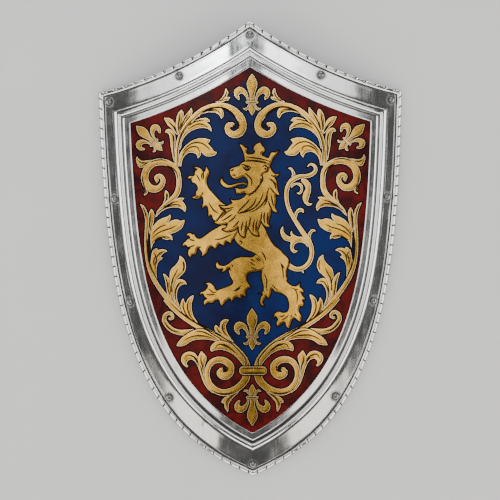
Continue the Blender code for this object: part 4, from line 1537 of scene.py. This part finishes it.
class ShieldColours(bpy.types.PropertyGroup):
    """Colours of the steel, the enamel and the gilding, and the widths of the painted lines."""

    slimming: length("Slimming", 0.0004, "How far the gilding stays inside the drawn shapes")
    outline_width: length("Outline width", 0.0016, "Black line outside the drawn shapes")
    shade_width: length("Shade width", 0.0012, "Width of the darker gold on the shaded sides")
    shade_inset: length("Shadow line inset", 0.0022, "From a shape's edge to its engraved shadow line")
    vein_width: length("Engraved line width", 0.0010, "Dark lines round and inside gilt shapes")
    rim_width: length("Pale rim width", 0.0007, "Pale line inside the edge of the gilt shapes")
    steel: colour_of("Steel", (0.72, 0.72, 0.71), "Polished steel of the border")
    # The rivets' steel is far darker than the border's: painted shade that keeps the domes dim
    rivets: colour_of("Rivets", (0.20, 0.20, 0.195), "Steel of the rivets")
    crimson: colour_of("Crimson", (0.078, 0.0014, 0.0011), "Light patches of the crimson enamel")
    crimson_dark: colour_of("Dark crimson", (0.009, 0.0004, 0.0006), "Dark patches of the crimson enamel")
    blue: colour_of("Blue", (0.0010, 0.0070, 0.046), "Light patches of the blue enamel on the left")
    # The lighter blue on the right is painted light
    blue_lit_right: colour_of("Blue on the right", (0.0002, 0.0085, 0.060), "Its light patches on the right")
    blue_dark: colour_of("Dark blue", (0.0008, 0.0016, 0.019), "Dark patches of the blue enamel")
    ink: colour_of("Outline", (0.0015, 0.0015, 0.0018), "Black outlines")
    engraving: colour_of("Engraving", (0.010, 0.004, 0.0015), "Lines engraved in the gilding")
    rim: colour_of("Pale rim", (0.88, 0.66, 0.33), "Pale edges of the gilt shapes")
    gold: colour_of("Gold", (0.70, 0.40, 0.055), "Light patches of the gilding")
    gold_dark: colour_of("Dark gold", (0.48, 0.245, 0.028), "Dark patches of the gilding")
    shade: colour_of("Shaded gold", (0.30, 0.145, 0.018), "Light patches of the gold's shaded sides")
    shade_dark: colour_of("Dark shaded gold", (0.16, 0.070, 0.009), "Dark patches of its shaded sides")
    back: colour_of("Back", (0.22, 0.21, 0.20), "Plain steel on the hidden side")


class SHIELD_OT_panel(bpy.types.Operator):
    """Adds the painted panel with its ornament"""

    bl_idname = "shield.add_panel"
    bl_label = "Painted panel"

    def execute(self, context):
        sizes, colours = context.scene.shield_sizes, context.scene.shield_colours
        painting = Painting(colours)
        for draw in (draw_fields, draw_side_leaves, draw_upper_scroll, draw_lower_scroll, draw_fleurs,
                     draw_lion_tail, draw_lion_limbs, draw_lion_head, engrave_lion_limbs):
            draw(painting)
        mesh = panel_mesh(sizes, Face(sizes), painting)
        add_piece(mesh, "painted_panel", panel_materials(colours), ["panel"])
        return {"FINISHED"}


class SHIELD_OT_border(bpy.types.Operator):
    """Adds the moulded steel border with its roped rolled edge"""

    bl_idname = "shield.add_border"
    bl_label = "Steel border"

    def execute(self, context):
        sizes, colours = context.scene.shield_sizes, context.scene.shield_colours
        points, shade_and_grime, faces = border_mesh(sizes, Face(sizes))
        mesh = tidy_mesh("moulded_border", points, faces, sharp_angle=SHARP_ANGLE, shade_and_grime=shade_and_grime)
        steel = steel_material("border_steel", colours.steel, roughness=0.085, wear=0.6)
        add_piece(mesh, "moulded_border", [steel], ["border"])
        return {"FINISHED"}


class SHIELD_OT_rivets(bpy.types.Operator):
    """Adds the twelve domed rivets"""

    bl_idname = "shield.add_rivets"
    bl_label = "Rivets"

    def execute(self, context):
        sizes, colours = context.scene.shield_sizes, context.scene.shield_colours
        # The rivets' darkened steel is painted shade
        steel = steel_material("rivet_steel", colours.rivets, roughness=0.12, wear=0.8)
        for name, place in rivet_axes(sizes, Face(sizes)):
            mesh = turned_mesh(f"domed_rivet_{name}", rivet_profile(sizes), place)
            add_piece(mesh, f"domed_rivet_{name}", [steel], [f"rivet_{name}"])
        return {"FINISHED"}


def add_softboxes():
    """Adds each softbox on the right and again on the left."""
    for name, (x, y, z), size, (lean_x, lean_y, turn), power, colour, left_share in SOFTBOXES:
        for side, label, share in ((-1, "left", left_share), (1, "right", 1.0)):
            light = bpy.data.lights.new(f"softbox_{name}_{label}", "AREA")
            light.shape = "RECTANGLE"
            light.size, light.size_y = size
            light.energy = power * share
            light.color = colour
            box = bpy.data.objects.new(light.name, light)
            box.location = (side * x, y, z)
            turns = (lean_x, side * lean_y, side * turn)
            box.rotation_euler = [math.radians(degrees) for degrees in turns]
            box.visible_camera = False
            bpy.context.scene.collection.objects.link(box)


def add_camera():
    """Adds the camera, which looks straight down and takes in the photo's own square."""
    camera = bpy.data.cameras.new("camera")
    camera.sensor_width = SENSOR
    side = PHOTO_SIDE * PIXEL
    camera.lens = SENSOR * (CAMERA_HEIGHT - FACE_HEIGHT) / side
    camera.clip_end = 2 * CAMERA_HEIGHT
    x, y = to_shield([PHOTO_CENTRE])[0]
    stand = bpy.data.objects.new("camera", camera)
    stand.location = (x, y, CAMERA_HEIGHT)
    stand.rotation_euler = (0.0, 0.0, -PHOTO_TURN)
    bpy.context.scene.collection.objects.link(stand)
    bpy.context.scene.camera = stand


class SHIELD_OT_stage(bpy.types.Operator):
    """Adds the pale floor, the soft studio lights and the camera"""

    bl_idname = "shield.add_stage"
    bl_label = "Stage"

    def execute(self, context):
        mesh = bpy.data.meshes.new("floor")
        corners = [(x * FLOOR_REACH, y * FLOOR_REACH, FLOOR_LEVEL)
                   for x, y in ((-1, -1), (1, -1), (1, 1), (-1, 1))]
        mesh.from_pydata(corners, [], [(0, 1, 2, 3)])
        mesh.materials.append(floor_material("pale_floor"))
        floor = bpy.data.objects.new("floor", mesh)
        context.scene.collection.objects.link(floor)
        world = bpy.data.worlds.new("studio")
        world.use_nodes = True
        background = world.node_tree.nodes["Background"]
        background.inputs["Color"].default_value = (1.0, 1.0, 1.0, 1.0)
        background.inputs["Strength"].default_value = WORLD_LIGHT
        context.scene.world = world
        add_softboxes()
        add_camera()
        return {"FINISHED"}


class SHIELD_PT_parts(bpy.types.Panel):
    """Lists the shield's pieces, sizes and colours"""

    bl_idname = "SHIELD_PT_parts"
    bl_label = "Heater shield"
    bl_space_type = "VIEW_3D"
    bl_region_type = "UI"
    bl_category = "Shield"

    def draw(self, context):
        for operator in OPERATORS:
            self.layout.operator(operator.bl_idname)
        for group in (context.scene.shield_sizes, context.scene.shield_colours):
            column = self.layout.column()
            for name in group.__annotations__:
                column.prop(group, name)


OPERATORS = (SHIELD_OT_border, SHIELD_OT_panel, SHIELD_OT_rivets, SHIELD_OT_stage)
CLASSES = (ShieldSizes, ShieldColours, *OPERATORS, SHIELD_PT_parts)


def register():
    for made in CLASSES:
        bpy.utils.register_class(made)
    bpy.types.Scene.shield_sizes = bpy.props.PointerProperty(type=ShieldSizes)
    bpy.types.Scene.shield_colours = bpy.props.PointerProperty(type=ShieldColours)


def unregister():
    del bpy.types.Scene.shield_colours
    del bpy.types.Scene.shield_sizes
    for made in reversed(CLASSES):
        bpy.utils.unregister_class(made)


def main():
    register()
    bpy.ops.shield.add_border()
    bpy.ops.shield.add_panel()
    bpy.ops.shield.add_rivets()
    bpy.ops.shield.add_stage()


if __name__ == "__main__":
    main()
